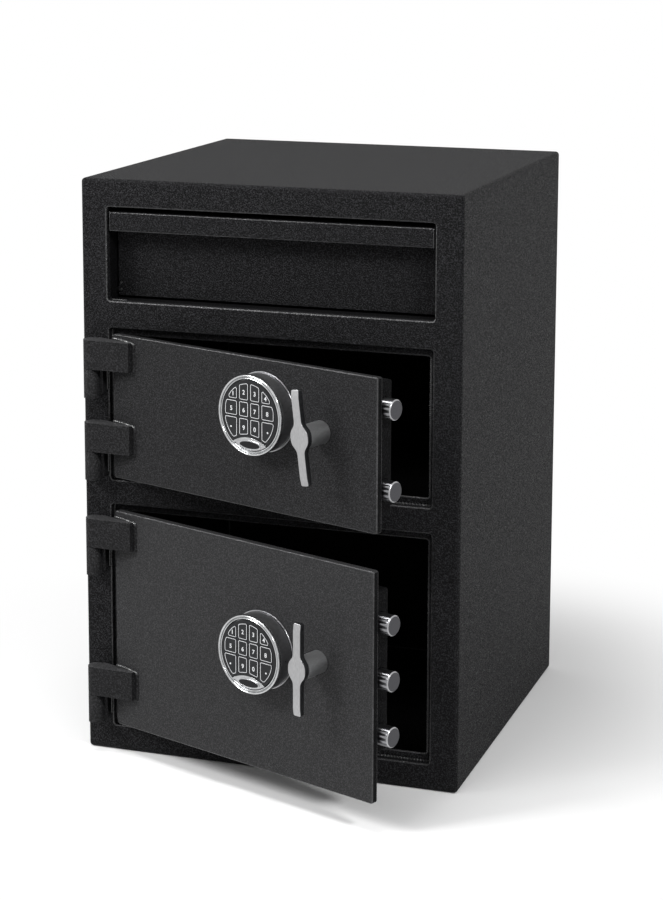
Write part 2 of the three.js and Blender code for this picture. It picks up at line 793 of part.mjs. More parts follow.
// Handle with its shaft and spindle through the door, and the cam that drives the bolt bar.
// It is made upright about its own axis, then turned to where it rests.
function turnHandle(name, door) {
  const barFront = doorFrontY - handleStandoff;
  const camBack = boltY + barDepth / 2;
  const camFront = camBack - camThickness;
  const lugFront = camFront - camGap - driveTabThickness;
  const spindleFront = doorFrontY - seatGap - joinOverlap;
  const handle = prismY(handleOutline(), [barFront, barFront + handleBarThickness])
    .add(roundBar('y', shaftRadius, [barFront + handleBarThickness, doorFrontY - seatGap], [0, 0]))
    .add(roundBar('y', spindleRadius, [spindleFront, camBack], [0, 0], smallSides));
  const camTurn = THREE.MathUtils.radToDeg(halfTurn);
  const cam = prismY(camOutline(), [camFront, camBack])
    .add(roundBar('y', lugRadius, [lugFront, camFront], [0, camRadius], smallSides))
    .rotate([0, camTurn, 0]);
  const mesh = meshOf(name, handle.add(cam), satinSteel);
  mesh.position.set(handleX, 0, door.handleZ);
  mesh.rotation.y = -THREE.MathUtils.degToRad(door.restDegrees);
  return mesh;
}

function lockCase(name, door) {
  const half = lockCaseWidth / 2;
  const top = door.keypadZ + lockCaseHeight / 2;
  const back = doorBackY + seatGap + lockCaseThickness;
  const body = block(
    [keypadX - half, keypadX + half],
    [doorBackY + seatGap, back],
    [door.keypadZ - lockCaseHeight / 2, top],
  );
  const [x0, x1] = lockBoltX();
  const [y0, y1] = lockBoltY();
  const pocket = block(
    [x0 - lockPocketSlack, x1 + lockPocketSlack],
    [y0 - lockPocketSlack, y1 + lockPocketSlack],
    [top - lockBoltSink - lockBoltLength - lockPocketSlack, top + cutOverrun],
  );
  return meshOf(name, body.subtract(pocket), lockGrey);
}

function lockBolt(name, door) {
  const top = door.keypadZ + lockCaseHeight / 2 - lockBoltSink;
  return meshOf(name, block(lockBoltX(), lockBoltY(), [top - lockBoltLength, top]), plainSteel);
}

// The black face fills the rim's circle above an arc, below which the rim widens to a crescent
function faceOutline(clearance, door, [y0, y1]) {
  const disc = roundBar('y', faceRadius - clearance, [y0, y1], [keypadX, door.keypadZ]);
  const arcZ = door.keypadZ - badgeArcTop - badgeArcRadius;
  const over = [y0 - cutOverrun, y1 + cutOverrun];
  return disc.subtract(roundBar('y', badgeArcRadius + clearance, over, [keypadX, arcZ]));
}

function keypadCase(name, door) {
  const waist = keypadRadius - keypadWaist;
  const rim = keypadDepth - seatGap;
  const geometry = turnedProfile([
    [0, 0],
    [keypadRadius, 0],
    [keypadRadius, keypadFlange],
    [waist, keypadFlange],
    [waist, rim - keypadRimDepth],
    [keypadRadius, rim - keypadRimRadius],
    [keypadRadius - keypadRimRadius, rim],
    [0, rim],
  ]);
  geometry.rotateX(Math.PI);
  geometry.translate(keypadX, doorFrontY - seatGap, door.keypadZ);
  const front = doorFrontY - keypadDepth;
  const pocket = faceOutline(0, door, [front - cutOverrun, front + facePocketDepth]);
  return meshOf(name, solidOf(geometry).subtract(pocket), darkChrome);
}

// Where each key sits: column edges from the middle line, and row edges from the keypad's centre
function keyCells() {
  const inner = [keyColumnGap / 2, keyColumnGap / 2 + keyInnerWidth];
  const outer = [inner[1] + keyColumnGap, keyFieldRadius];
  const columns = [[-outer[1], -outer[0]], [-inner[1], -inner[0]], inner, outer];
  const half = keyRowHeight / 2;
  const rows = [
    [keyRowMiddle + half + keyRowGap, keyFieldRadius],
    [keyRowMiddle - half, keyRowMiddle + half],
    [-keyFieldRadius, keyRowMiddle - half - keyRowGap],
  ];
  const names = [['1', '2', '3', '4'], ['5', '6', '7', '8'], ['clear', '9', '0', 'enter']];
  return names.flatMap((row, r) => row.map((key, c) => ({ key, x: columns[c], z: rows[r] })));
}

// A key's solid: its cell, trimmed by the round key field and by the arc above the crescent
function keySolid(cell, door, clearance, y) {
  const x = [keypadX + cell.x[0] - clearance, keypadX + cell.x[1] + clearance];
  const z = [door.keypadZ + cell.z[0] - clearance, door.keypadZ + cell.z[1] + clearance];
  const field = roundBar('y', keyFieldRadius + clearance, y, [keypadX, door.keypadZ], fineSides);
  const arcZ = door.keypadZ - badgeArcTop - badgeArcRadius;
  const arc = roundBar(
    'y',
    badgeArcRadius + keyBadgeGap - clearance,
    [y[0] - cutOverrun, y[1] + cutOverrun],
    [keypadX, arcZ],
    fineSides,
  );
  return block(x, y, z).intersect(field).subtract(arc);
}

function keypadFace(name, door) {
  const front = doorFrontY - keypadDepth + faceDrop;
  const back = front + faceThickness;
  let face = faceOutline(faceGap, door, [front, back]);
  for (const cell of keyCells()) {
    face = face.subtract(keySolid(cell, door, keyClearance, [front - cutOverrun, back + cutOverrun]));
  }
  return meshOf(name, face, keypadBlack);
}

function keypadKeys(side, door) {
  const front = doorFrontY - keypadDepth + faceDrop - keyProud;
  return keyCells().map((cell) => {
    const solid = keySolid(cell, door, 0, [front, front + keyHeight]);
    return meshOf(`${side}_key_${cell.key}`, solid, keyRubber);
  });
}

// Bolt heights, spread evenly about a middle height
function boltHeights(middle, pitch, count) {
  const first = middle - pitch * (count - 1) / 2;
  return Array.from({ length: count }, (unused, i) => first + pitch * i);
}

// A door between the top and bottom of its opening, with what it carries placed up its height
function doorIn([openingBottom, openingTop], shares, rest) {
  const bottom = openingBottom + doorGapEnds;
  const top = openingTop - doorGapEnds;
  const height = top - bottom;
  const at = (share) => bottom + setOut(height * share);
  const [housingBottom, housingTop] = shares.housing.map(at);
  return {
    ...rest,
    bottom,
    top,
    keypadZ: at(shares.keypad),
    handleZ: at(shares.handle),
    boltZ: boltHeights(at(shares.boltMiddle), setOut(height * shares.boltPitch), rest.boltCount),
    housingBottom,
    housingTop,
    strapBottoms: {
      top: at(1 - shares.strapDrop) - leafHeight,
      bottom: at(shares.strapRise),
    },
  };
}

const upperDoor = doorIn([upperBottomZ, upperTopZ], {
  keypad: upperKeypadShare,
  handle: upperHandleShare,
  boltMiddle: upperBoltMiddleShare,
  boltPitch: upperBoltPitchShare,
  housing: upperHousingShares,
  strapDrop: upperStrapDropShare,
  strapRise: upperStrapRiseShare,
}, {
  boltCount: upperBoltCount,
  restDegrees: upperHandleRestDegrees,
  openDegrees: upperOpenDegrees,
});

const lowerDoor = doorIn([lowerBottomZ, lowerTopZ], {
  keypad: lowerKeypadShare,
  handle: lowerHandleShare,
  boltMiddle: lowerBoltMiddleShare,
  boltPitch: lowerBoltPitchShare,
  housing: lowerHousingShares,
  strapDrop: lowerStrapDropShare,
  strapRise: lowerStrapRiseShare,
}, {
  boltCount: lowerBoltCount,
  restDegrees: lowerHandleRestDegrees,
  openDegrees: lowerOpenDegrees,
});

// Everything that swings with one door, about its hinge
function doorGroup(side, door) {
  const group = new THREE.Group();
  group.add(doorPlate(`${side}_door_plate`, door));
  for (const [end, z] of Object.entries(door.strapBottoms)) {
    group.add(hingeStrap(`${side}_hinge_strap_${end}`, z));
  }
  group.add(boltHousing(`${side}_bolt_housing`, door));
  group.add(boltBar(`${side}_bolt_bar`, door));
  door.boltZ.forEach((z, i) => group.add(roundBolt(`${side}_bolt_${i + 1}`, door, z)));
  group.add(turnHandle(`${side}_handle`, door));
  group.add(lockCase(`${side}_lock_case`, door));
  group.add(lockBolt(`${side}_lock_bolt`, door));
  group.add(keypadCase(`${side}_keypad_case`, door));
  group.add(keypadFace(`${side}_keypad_face`, door));
  group.add(...keypadKeys(side, door));
  group.position.set(hingeX, hingeY, 0);
  group.rotation.z = -THREE.MathUtils.degToRad(door.openDegrees);
  return group;
}

const safe = new THREE.Group();
safe.add(cabinetBody(), backPanel(), frontFrame(), dividerShelf(), dropHousing());
safe.add(drawerFront(), drawerTray());
for (const [side, door] of [['upper', upperDoor], ['lower', lowerDoor]]) {
  for (const [end, z] of Object.entries(door.strapBottoms)) {
    safe.add(frameKnuckle(`${side}_frame_knuckle_${end}`, z - hingeGap));
  }
  safe.add(doorGroup(side, door));
}

export default safe;
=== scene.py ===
import math

import bmesh
import bpy
from mathutils import Matrix, Vector


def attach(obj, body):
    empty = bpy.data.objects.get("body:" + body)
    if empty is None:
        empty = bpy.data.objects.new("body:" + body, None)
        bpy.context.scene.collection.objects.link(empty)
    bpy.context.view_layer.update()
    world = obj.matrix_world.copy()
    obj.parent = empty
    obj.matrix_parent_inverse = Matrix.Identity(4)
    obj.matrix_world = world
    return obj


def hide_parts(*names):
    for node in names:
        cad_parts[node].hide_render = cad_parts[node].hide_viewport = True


# Drop safe: a deposit drawer over two locked compartments, both doors part open.
# Metres, +Z up. The origin is the middle of the base and the front faces -Y.

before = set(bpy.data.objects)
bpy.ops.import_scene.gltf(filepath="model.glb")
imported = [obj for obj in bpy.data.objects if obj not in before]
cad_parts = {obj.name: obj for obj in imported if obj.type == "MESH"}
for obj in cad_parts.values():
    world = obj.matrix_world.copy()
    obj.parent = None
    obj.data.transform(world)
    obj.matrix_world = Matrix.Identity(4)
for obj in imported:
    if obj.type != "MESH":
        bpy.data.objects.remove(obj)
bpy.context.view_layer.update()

# Cabinet
# A welded steel box: 4.8 mm walls with a 10 mm front plate. The plate has one drawer opening
# and two door openings, and each door opening is stepped to leave a stop behind the door.
# It is sprayed black with a textured powder coat, baked, and anchored through its floor.

HALF_WIDTH = 0.254
HALF_DEPTH = 0.254
HEIGHT = 0.762
WALL = 0.0048
FRONT = -HALF_DEPTH
PLATE_BACK = FRONT + 0.010
STOP_BACK = FRONT + 0.0127
DRAWER_OPENING = ((-0.2185, 0.2185), (0.6045, 0.726))
DOOR_OPENINGS = {
    "upper": ((-0.217, 0.217), (0.3685, 0.569)),
    "lower": ((-0.217, 0.217), (0.0345, 0.3355)),
}
LEDGE_HINGE, LEDGE_LATCH, LEDGE_ENDS = 0.012, 0.006, 0.0105
BODY_ROUND, OPENING_CORNER, OPENING_EDGE = 0.0050, 0.004, 0.0018
ANCHOR, ANCHOR_RADIUS = 0.164, 0.007
# A cutter runs this far past what it cuts.
OVERRUN = 0.01


def linear(code):
    """A colour written as sRGB hex, as the linear values that a shader takes."""
    parts = [int(code[i:i + 2], 16) / 255 for i in (1, 3, 5)]
    return [c / 12.92 if c <= 0.04045 else ((c + 0.055) / 1.055) ** 2.4 for c in parts] + [1.0]


def toned(code, share):
    """A colour made darker or paler by a share."""
    return [min(1.0, c * share) for c in linear(code)[:3]] + [1.0]


def add_node(tree, kind, settings=None, links=None):
    """A node with its settings, by property or socket name, and the outputs joined to its inputs."""
    made = tree.nodes.new(kind)
    for name, value in (settings or {}).items():
        if hasattr(made, name):
            setattr(made, name, value)
        else:
            made.inputs[name].default_value = value
    for name, output in (links or {}).items():
        tree.links.new(output, made.inputs[name])
    return made


def blank_material(name):
    """A new material, its tree, its shader, and the object's own coordinates to hang patterns on."""
    material = bpy.data.materials.new(name)
    material.use_nodes = True
    tree = material.node_tree
    return material, tree, tree.nodes["Principled BSDF"], add_node(tree, "ShaderNodeTexCoord")


def powder_coat(name, code, grain_mm, relief_mm, rough, glint, gloss, speckle):
    """Polyester powder coat, baked to a fine orange-peel. It is matt overall, and the top of each grain
    is smoother, so that it glints where it faces the light. Those tops are also painted paler, as
    painted glints. Real grain is under a millimetre across, and it is drawn at 1.5 to 3.2 mm, coarse
    enough to show."""
    material, tree, shader, place = blank_material(name)
    grain = add_node(tree, "ShaderNodeTexNoise",
                     {"Scale": 1000.0 / grain_mm, "Detail": 2.0, "Roughness": 0.6},
                     {"Vector": place.outputs["Object"]})
    tops = add_node(tree, "ShaderNodeMapRange", {"From Min": 0.46, "From Max": 0.68},
                    {"Value": grain.outputs["Fac"]})
    # Painted glints: the colour is lightened on the tops of the grain by the speckle share.
    tint = add_node(tree, "ShaderNodeMix",
                    {"data_type": "RGBA", "A": toned(code, 0.6), "B": toned(code, speckle)},
                    {"Factor": tops.outputs["Result"]})
    sheen = add_node(tree, "ShaderNodeMapRange", {"To Min": rough, "To Max": glint},
                     {"Value": tops.outputs["Result"]})
    peel = add_node(tree, "ShaderNodeBump", {"Strength": 1.0, "Distance": relief_mm / 1000.0},
                    {"Height": grain.outputs["Fac"]})
    shader.inputs["Specular IOR Level"].default_value = gloss
    tree.links.new(tint.outputs["Result"], shader.inputs["Base Color"])
    tree.links.new(sheen.outputs["Result"], shader.inputs["Roughness"])
    tree.links.new(peel.outputs["Normal"], shader.inputs["Normal"])
    return material


def block(name, x, y, z):
    """A block between two values on each axis, added as a cube and left at the origin."""
    bpy.ops.object.select_all(action="DESELECT")
    middle = [sum(pair) / 2 for pair in (x, y, z)]
    size = [pair[1] - pair[0] for pair in (x, y, z)]
    bpy.ops.mesh.primitive_cube_add(size=1, location=middle, scale=size)
    made = bpy.context.object
    made.name = name
    bpy.ops.object.transform_apply(location=True, rotation=True, scale=True)
    return made


def pick(piece, kind, wanted):
    """In edit mode, selects the corners, edges or faces that pass a test on their own geometry."""
    bpy.ops.object.select_all(action="DESELECT")
    piece.select_set(True)
    bpy.context.view_layer.objects.active = piece
    bpy.ops.object.mode_set(mode="EDIT")
    bpy.ops.mesh.select_mode(type=kind)
    bpy.ops.mesh.select_all(action="DESELECT")
    mesh = bmesh.from_edit_mesh(piece.data)
    for part in {"VERT": mesh.verts, "EDGE": mesh.edges, "FACE": mesh.faces}[kind]:
        part.select_set(bool(wanted(part)))
    mesh.select_flush_mode()
    bmesh.update_edit_mesh(piece.data)


def done():
    """Leaves edit mode."""
    bpy.ops.object.mode_set(mode="OBJECT")


def along(axis):
    """A test for edges that run along one axis."""
    def test(edge):
        way = (edge.verts[1].co - edge.verts[0].co).normalized()
        return abs(way[axis]) > 0.999
    return test


def round_corners(piece, axis, radius, steps=4):
    """Rounds the edges of a piece that run along one axis."""
    pick(piece, "EDGE", along(axis))
    bpy.ops.mesh.bevel(offset=radius, segments=steps, affect="EDGES")
    done()
    return piece


def combine(piece, other, operation):
    """Cuts, joins or trims a piece with another, which is used up."""
    tool = piece.modifiers.new("combine", "BOOLEAN")
    tool.operation = operation
    tool.solver = "EXACT"
    tool.object = other
    bpy.ops.object.select_all(action="DESELECT")
    piece.select_set(True)
    bpy.context.view_layer.objects.active = piece
    bpy.ops.object.modifier_apply(modifier=tool.name)
    bpy.data.objects.remove(other)
    return piece


def soften(piece, width, steps=2, degrees=50, clamp=False, coats=(), weigh=True):
    """Breaks the sharp edges with a small round, then shades the flats flat and the rounds smooth.
    The last of its coats goes on the rounds, because a coat lies smoother on an edge. The edge coat's
    paler colour there is a painted highlight."""
    for coat in coats:
        if coat.name not in piece.data.materials:
            piece.data.materials.append(coat)
    bpy.ops.object.select_all(action="DESELECT")
    piece.select_set(True)
    bpy.context.view_layer.objects.active = piece
    if width:
        edge = piece.modifiers.new("edges", "BEVEL")
        edge.width = width
        edge.segments = steps
        edge.limit_method = "ANGLE"
        edge.angle_limit = math.radians(degrees)
        edge.use_clamp_overlap = clamp
        edge.material = len(coats) - 1 if coats else -1
        bpy.ops.object.modifier_apply(modifier=edge.name)

    # A narrow border round each large flat keeps the rounds' shading out of it.
    large, border = 0.003, 0.0003
    if any(face.area > large for face in piece.data.polygons):
        pick(piece, "FACE", lambda face: face.calc_area() > large)
        bpy.ops.mesh.inset(thickness=border, depth=0)
        done()
    bpy.ops.object.shade_smooth_by_angle(angle=math.radians(45))
    if weigh:
        weights = piece.modifiers.new("weights", "WEIGHTED_NORMAL")
        weights.keep_sharp = True
        bpy.ops.object.modifier_apply(modifier=weights.name)
    return piece


def complete(piece, name, body, slot, *materials):
    """Names and finishes a piece, and lets it move with its body."""
    piece.name = name
    piece.data.name = name
    for material in materials:
        piece.data.materials.append(material)
    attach(piece, body)
    return piece


# The body's coat is a deep black whose grains glint where they face the light. Their tops are
# painted paler as well, as painted glints.
body_coat = powder_coat("body_powder_coat", "#0c0c0d", grain_mm=1.5, relief_mm=1.5,
                        rough=0.78, glint=0.40, gloss=0.10, speckle=6.4)
# On the rounded edges the coat is smoother and glossier, and its colour is painted paler as a
# painted highlight. Together they draw the edges as pale lines.
edge_coat = powder_coat("edge_powder_coat", "#131314", grain_mm=3.2, relief_mm=1.6,
                        rough=0.42, glint=0.20, gloss=0.60, speckle=6.0)
# Inside, and on faces that lie in shadow, the coat is darker, flatter and duller, with fewer
# painted glints: painted shade.
painted_shade_coat = powder_coat("painted_shade_powder_coat", "#09090a", grain_mm=2.2, relief_mm=0.60,
                         rough=0.80, glint=0.60, gloss=0.06, speckle=2.0)

cabinet = block("cabinet", (-HALF_WIDTH, HALF_WIDTH), (-HALF_DEPTH, HALF_DEPTH), (0, HEIGHT))
pick(cabinet, "EDGE", lambda edge: True)
bpy.ops.mesh.bevel(offset=BODY_ROUND, segments=5, affect="EDGES")
done()
inside = HALF_WIDTH - WALL
room = block("room", (-inside, inside), (STOP_BACK, HALF_DEPTH - WALL), (WALL, HEIGHT - WALL))
combine(cabinet, room, "DIFFERENCE")

through = (FRONT - OVERRUN, STOP_BACK + OVERRUN)
hole = block("hole", DRAWER_OPENING[0], through, DRAWER_OPENING[1])
combine(cabinet, round_corners(hole, 1, OPENING_CORNER), "DIFFERENCE")
for (x0, x1), (z0, z1) in DOOR_OPENINGS.values():
    rebate = block("rebate", (x0, x1), (FRONT - OVERRUN, PLATE_BACK), (z0, z1))
    combine(cabinet, round_corners(rebate, 1, OPENING_CORNER), "DIFFERENCE")
    step = block("step", (x0 + LEDGE_HINGE, x1 - LEDGE_LATCH), through, (z0 + LEDGE_ENDS, z1 - LEDGE_ENDS))
    combine(cabinet, round_corners(step, 1, OPENING_CORNER), "DIFFERENCE")
for x in (-ANCHOR, ANCHOR):
    for y in (-ANCHOR, ANCHOR):
        bpy.ops.mesh.primitive_cylinder_add(vertices=32, radius=ANCHOR_RADIUS, depth=2 * OVERRUN,
                                            location=(x, y, 0))
        combine(cabinet, bpy.context.object, "DIFFERENCE")
soften(cabinet, OPENING_EDGE, 3, coats=(body_coat, edge_coat))
complete(cabinet, "cabinet_shell", "safe", "texture_black")
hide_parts("cabinet_body", "front_frame", "back_panel")

# Weld beads on the frame
# Where the stop bars meet the front plate, runs of arc weld are left unground under the coat.
# They show as rows of small glossy lumps along the openings' edges and in their corners.

LEDGE_BEAD, STEP_BEAD, DRAWER_BEAD = 0.0021, 0.0013, 0.0015
LUMP_GAP = 0.0022
BEAD_RAISED = 0.0004
LEDGE_Y = PLATE_BACK - 0.0006
STOP_Y = (PLATE_BACK + STOP_BACK) / 2
DRAWER_WELD_Y = FRONT + 0.0095

# The powder melts smooth over the ripples of a weld, so that each one catches a highlight. Its
# colour is also painted paler than the body's, as a painted highlight.
weld_coat = powder_coat("coated_weld", "#19191a", grain_mm=2.4, relief_mm=0.20,
                        rough=0.34, glint=0.22, gloss=0.60, speckle=2.2)


def weld_bead(name, points, radius, stretch=(1.0, 1.0, 1.0)):
    """A run of overlapping weld lumps along a line, melted into one skin."""
    bpy.ops.object.select_all(action="DESELECT")
    lumps = []
    for i, point in enumerate(points):
        size = radius * (1.0 + 0.07 * math.sin(i * 1.3) + 0.05 * math.sin(i * 2.9))
        bpy.ops.mesh.primitive_ico_sphere_add(subdivisions=2, radius=size,
                                              location=point, scale=stretch)
        lumps.append(bpy.context.object)
    bpy.ops.object.select_all(action="DESELECT")
    for lump in lumps:
        lump.select_set(True)
    bead = lumps[0]
    bpy.context.view_layer.objects.active = bead
    bpy.ops.object.join()
    bpy.ops.object.transform_apply(location=True, rotation=True, scale=True)
    skin = bead.modifiers.new("skin", "REMESH")
    skin.mode = "VOXEL"
    skin.voxel_size = radius / 5
    bpy.ops.object.modifier_apply(modifier=skin.name)
    even = bead.modifiers.new("even", "SMOOTH")
    even.factor = 0.5
    even.iterations = 4
    bpy.ops.object.modifier_apply(modifier=even.name)
    bpy.ops.object.shade_smooth()
    bead.name = name
    return bead


def run_of(start, end, gap):
    """Points along a straight run, a set gap apart."""
    start, end = Vector(start), Vector(end)
    count = max(2, int((end - start).length / gap))
    return [start.lerp(end, i / count) for i in range(count + 1)]


# The runs, each placed from its opening's corners
for side, ((x0, x1), (z0, z1)) in DOOR_OPENINGS.items():
    low, step_x = z0 + BEAD_RAISED, x1 - LEDGE_LATCH
    for name, start, end, radius in (
        ("right", (x1 - 0.105, LEDGE_Y, low), (x1 - 0.001, LEDGE_Y, low), LEDGE_BEAD),
        ("left", (x0 + 0.001, LEDGE_Y, low), (x0 + 0.024, LEDGE_Y, low), LEDGE_BEAD),
        ("side", (step_x, STOP_Y, z0 + 0.012), (step_x, STOP_Y, z1 - 0.012), STEP_BEAD),
    ):
        bead = weld_bead("bead", run_of(start, end, 2 * radius), radius)
        complete(bead, f"{side}_opening_weld_{name}", "safe", "texture_black", weld_coat)
(x0, x1), (z0, z1) = DRAWER_OPENING
for name, start, end in (
    ("right_bottom", (x1, DRAWER_WELD_Y, z0 + 0.002), (x1, DRAWER_WELD_Y, z0 + 0.018)),
    ("right_top", (x1, DRAWER_WELD_Y, z1 - 0.014), (x1, DRAWER_WELD_Y, z1 - 0.002)),
    ("left_bottom", (x0 + 0.001, DRAWER_WELD_Y, z0), (x0 + 0.022, DRAWER_WELD_Y, z0)),
):
    bead = weld_bead("bead", run_of(start, end, LUMP_GAP), DRAWER_BEAD)
    complete(bead, f"drawer_opening_weld_{name}", "safe", "texture_black", weld_coat)

# Divider shelf and drop housing
# Folded sheet steel inside the body, coated with it: the shelf between the compartments, and
# the cheeks, roof, curved baffle and sloped chute round the drawer. Light barely reaches them.


def finish_node(name, material):
    """Gives a piece that comes straight from the frame its material."""
    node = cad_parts[name]
    node.data.materials.clear()
    node.data.materials.append(material)


# Both take the darker, duller inside coat, which is painted shade.
finish_node("divider_shelf", painted_shade_coat)
finish_node("drop_housing", painted_shade_coat)

# Deposit drawer
# The drawer's front is one sheet: a panel set 30 mm back, folded forward at its top and then
# down into a full-width pull lip. Behind it is the tray that tips the deposit into the chute.

PANEL_Y, LIP_Y = -0.2225, -0.25025
LIP_TOP, LIP_BOTTOM, PANEL_BOTTOM = 0.7180, 0.6948, 0.6070
PANEL_WIDTH, FRONT_SHEET, FRONT_EDGE = 0.4325, 0.0027, 0.0012
SPOT_X, SPOT_Y, SPOT_Z = (-0.2125, -0.2118), -0.2246, (0.6135, 0.6225)
SPOT_RISE, SPOT_RADIUS = 0.0015, 0.0017
# A corner this close to an edge of its piece counts as on it.
NEAR = 0.001

bpy.ops.object.select_all(action="DESELECT")
bpy.ops.mesh.primitive_plane_add(size=1, rotation=(math.pi / 2, 0, 0),
                                 location=(0, PANEL_Y, (LIP_TOP + PANEL_BOTTOM) / 2))
drawer_front = bpy.context.object
drawer_front.scale = (PANEL_WIDTH, LIP_TOP - PANEL_BOTTOM, 1)
bpy.ops.object.transform_apply(location=True, rotation=True, scale=True)
pick(drawer_front, "EDGE", lambda edge: all(v.co.z > LIP_TOP - NEAR for v in edge.verts))
bpy.ops.mesh.extrude_region_move(TRANSFORM_OT_translate={"value": (0, LIP_Y - PANEL_Y, 0)})
bpy.ops.mesh.extrude_region_move(TRANSFORM_OT_translate={"value": (0, 0, LIP_BOTTOM - LIP_TOP)})
bpy.ops.mesh.select_all(action="SELECT")
bpy.ops.mesh.normals_make_consistent(inside=False)
done()
sheet = drawer_front.modifiers.new("sheet", "SOLIDIFY")
sheet.thickness = FRONT_SHEET
sheet.offset = 0
sheet.use_even_offset = True
bpy.ops.object.modifier_apply(modifier=sheet.name)
soften(drawer_front, FRONT_EDGE, 3, coats=(body_coat, edge_coat))
complete(drawer_front, "drawer_front_panel", "drawer", "texture_black")
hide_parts("drawer_front")

for i, z in enumerate(SPOT_Z):
    lumps = [(SPOT_X[0], SPOT_Y, z), (SPOT_X[1], SPOT_Y, z + SPOT_RISE)]
    spot = weld_bead("spot", lumps, SPOT_RADIUS)
    complete(spot, f"drawer_weld_spot_{i + 1}", "drawer", "texture_black", weld_coat)

# The tray takes the darker, duller inside coat, which is painted shade.
finish_node("drawer_tray", painted_shade_coat)

# Doors
# Each door is a 9.5 mm plate, flush with the frame when it is shut. Its edges are broken before
# coating. All that a door carries is made with the hinge at the origin, then hung.

HINGE = Vector((-0.235, -0.268, 0))
LATCH_EDGE = 0.4508
DOOR_X = (0.024, LATCH_EDGE)
DOOR_FRONT, DOOR_BACK = 0.014, 0.0235
DOOR_CORNER, DOOR_EDGE = 0.003, 0.0013
KEYPAD_X, HANDLE_X = LATCH_EDGE - 0.1738, LATCH_EDGE - 0.0843
SPINDLE_HOLE, CABLE_HOLE = 0.0085, 0.005
DOORS = {
    "upper": {"open": 19.7, "z": (0.374, 0.5635), "keypad": 0.498, "handle": 0.486, "turned": 8.0,
              "straps": (0.5180, 0.4095), "bolts": (0.422, 0.5215), "cover": (0.389, 0.554)},
    "lower": {"open": 20.4, "z": (0.040, 0.330), "keypad": 0.197, "handle": 0.201, "turned": 0.0,
              "straps": (0.2820, 0.0810), "bolts": (0.1195, 0.1895, 0.2595), "cover": (0.0965, 0.2995)},
}

# The doors' coat is the body's, laid flat and even so that it is less speckled, and its colour is
# painted greyer and paler: painted light, as the doors face the light more fully. The lower one's
# is a little paler still, as the photograph shows it, which is more painted light.
door_coats = {
    "upper": powder_coat("upper_door_powder_coat", "#19191a", grain_mm=1.5, relief_mm=0.9,
                         rough=0.64, glint=0.38, gloss=0.13, speckle=2.9),
    "lower": powder_coat("lower_door_powder_coat", "#2d2d2e", grain_mm=1.5, relief_mm=0.6,
                         rough=0.64, glint=0.42, gloss=0.13, speckle=1.6),
}


def hang(piece, door, at=(0, 0, 0), turned=0.0):
    """Puts a piece made about its own origin on its door, and the door where it stands open."""
    turn = Matrix.Rotation(math.radians(-turned), 4, "Y")
    swing = Matrix.Rotation(math.radians(-DOORS[door]["open"]), 4, "Z")
    piece.data.transform(Matrix.Translation(HINGE) @ swing @ Matrix.Translation(Vector(at)) @ turn)
    piece.data.update()
    return piece


def rod(name, radius, start, end, sides=48):
    """A round bar between two points."""
    start, end = Vector(start), Vector(end)
    way = end - start
    bpy.ops.object.select_all(action="DESELECT")
    bpy.ops.mesh.primitive_cylinder_add(vertices=sides, radius=radius, depth=way.length,
                                        location=(start + end) / 2,
                                        rotation=way.to_track_quat("Z", "Y").to_euler())
    made = bpy.context.object
    made.name = name
    bpy.ops.object.transform_apply(location=True, rotation=True, scale=True)
    return made


for side, door in DOORS.items():
    plate = block("plate", DOOR_X, (DOOR_FRONT, DOOR_BACK), door["z"])
    round_corners(plate, 1, DOOR_CORNER)
    plate.data.materials.append(door_coats[side])
    plate.data.materials.append(painted_shade_coat)

    # The two upright edges take the inside's darker coat, as dark as they look in the photograph:
    # painted shade.
    for face in plate.data.polygons:
        face.material_index = 1 if abs(face.normal.x) > 0.9 else 0
    soften(plate, DOOR_EDGE, 3, coats=(door_coats[side], painted_shade_coat, edge_coat))
    for x, z, radius in ((HANDLE_X, door["handle"], SPINDLE_HOLE), (KEYPAD_X, door["keypad"], CABLE_HOLE)):
        hole = rod("hole", radius, (x, DOOR_FRONT - OVERRUN, z), (x, DOOR_BACK + OVERRUN, z))
        combine(plate, hole, "DIFFERENCE")
    soften(plate, 0)
    hang(plate, side)
    complete(plate, f"{side}_door", f"{side}_door", "texture_black")
    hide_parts(f"{side}_door_plate")

# Hinges
# Cast steel hinges, welded on. Each strap is a teardrop, thick at its barrel and thin at its
# end on the door, and it turns on the pin of a knuckle that is welded to the frame below it.

BARREL, BORE, PIN = 0.011, 0.0063, 0.006
LEAF = 0.038
CAP = 0.0095
PIN_FOOT, PIN_TOP = 0.005, 0.028
STRAP_END = 0.058
STRAP_END_FRONT = DOOR_FRONT - 0.008
KNUCKLE_END, KNUCKLE_CORNER = 0.015, 0.010
# The gap left between pieces that touch, and between a strap and its knuckle
SEAT, STRAP_GAP = 0.0003, 0.0005
STRAP_EDGE, KNUCKLE_EDGE = 0.0009, 0.0012
STRAP_BEAD, END_BEAD, KNUCKLE_BEAD = 0.0030, 0.0036, 0.0019
STRAP_BEAD_START, STRAP_BEAD_RISE, STRAP_BEAD_SINK = 0.002, 0.0012, 0.0034

# The castings carry the same powder. They look matt charcoal, with less sparkle than the body.
hinge_coat = powder_coat("hinge_powder_coat", "#171718", grain_mm=2.0, relief_mm=0.9,
                         rough=0.66, glint=0.44, gloss=0.12, speckle=2.6)
# The straps' level tops are painted paler and smoother, as the photograph shows them: painted
# light from above.
strap_top_painted_light = powder_coat("hinge_top_painted_light", "#2e2e2f", grain_mm=2.0, relief_mm=0.7,
                       rough=0.56, glint=0.40, gloss=0.30, speckle=2.4)

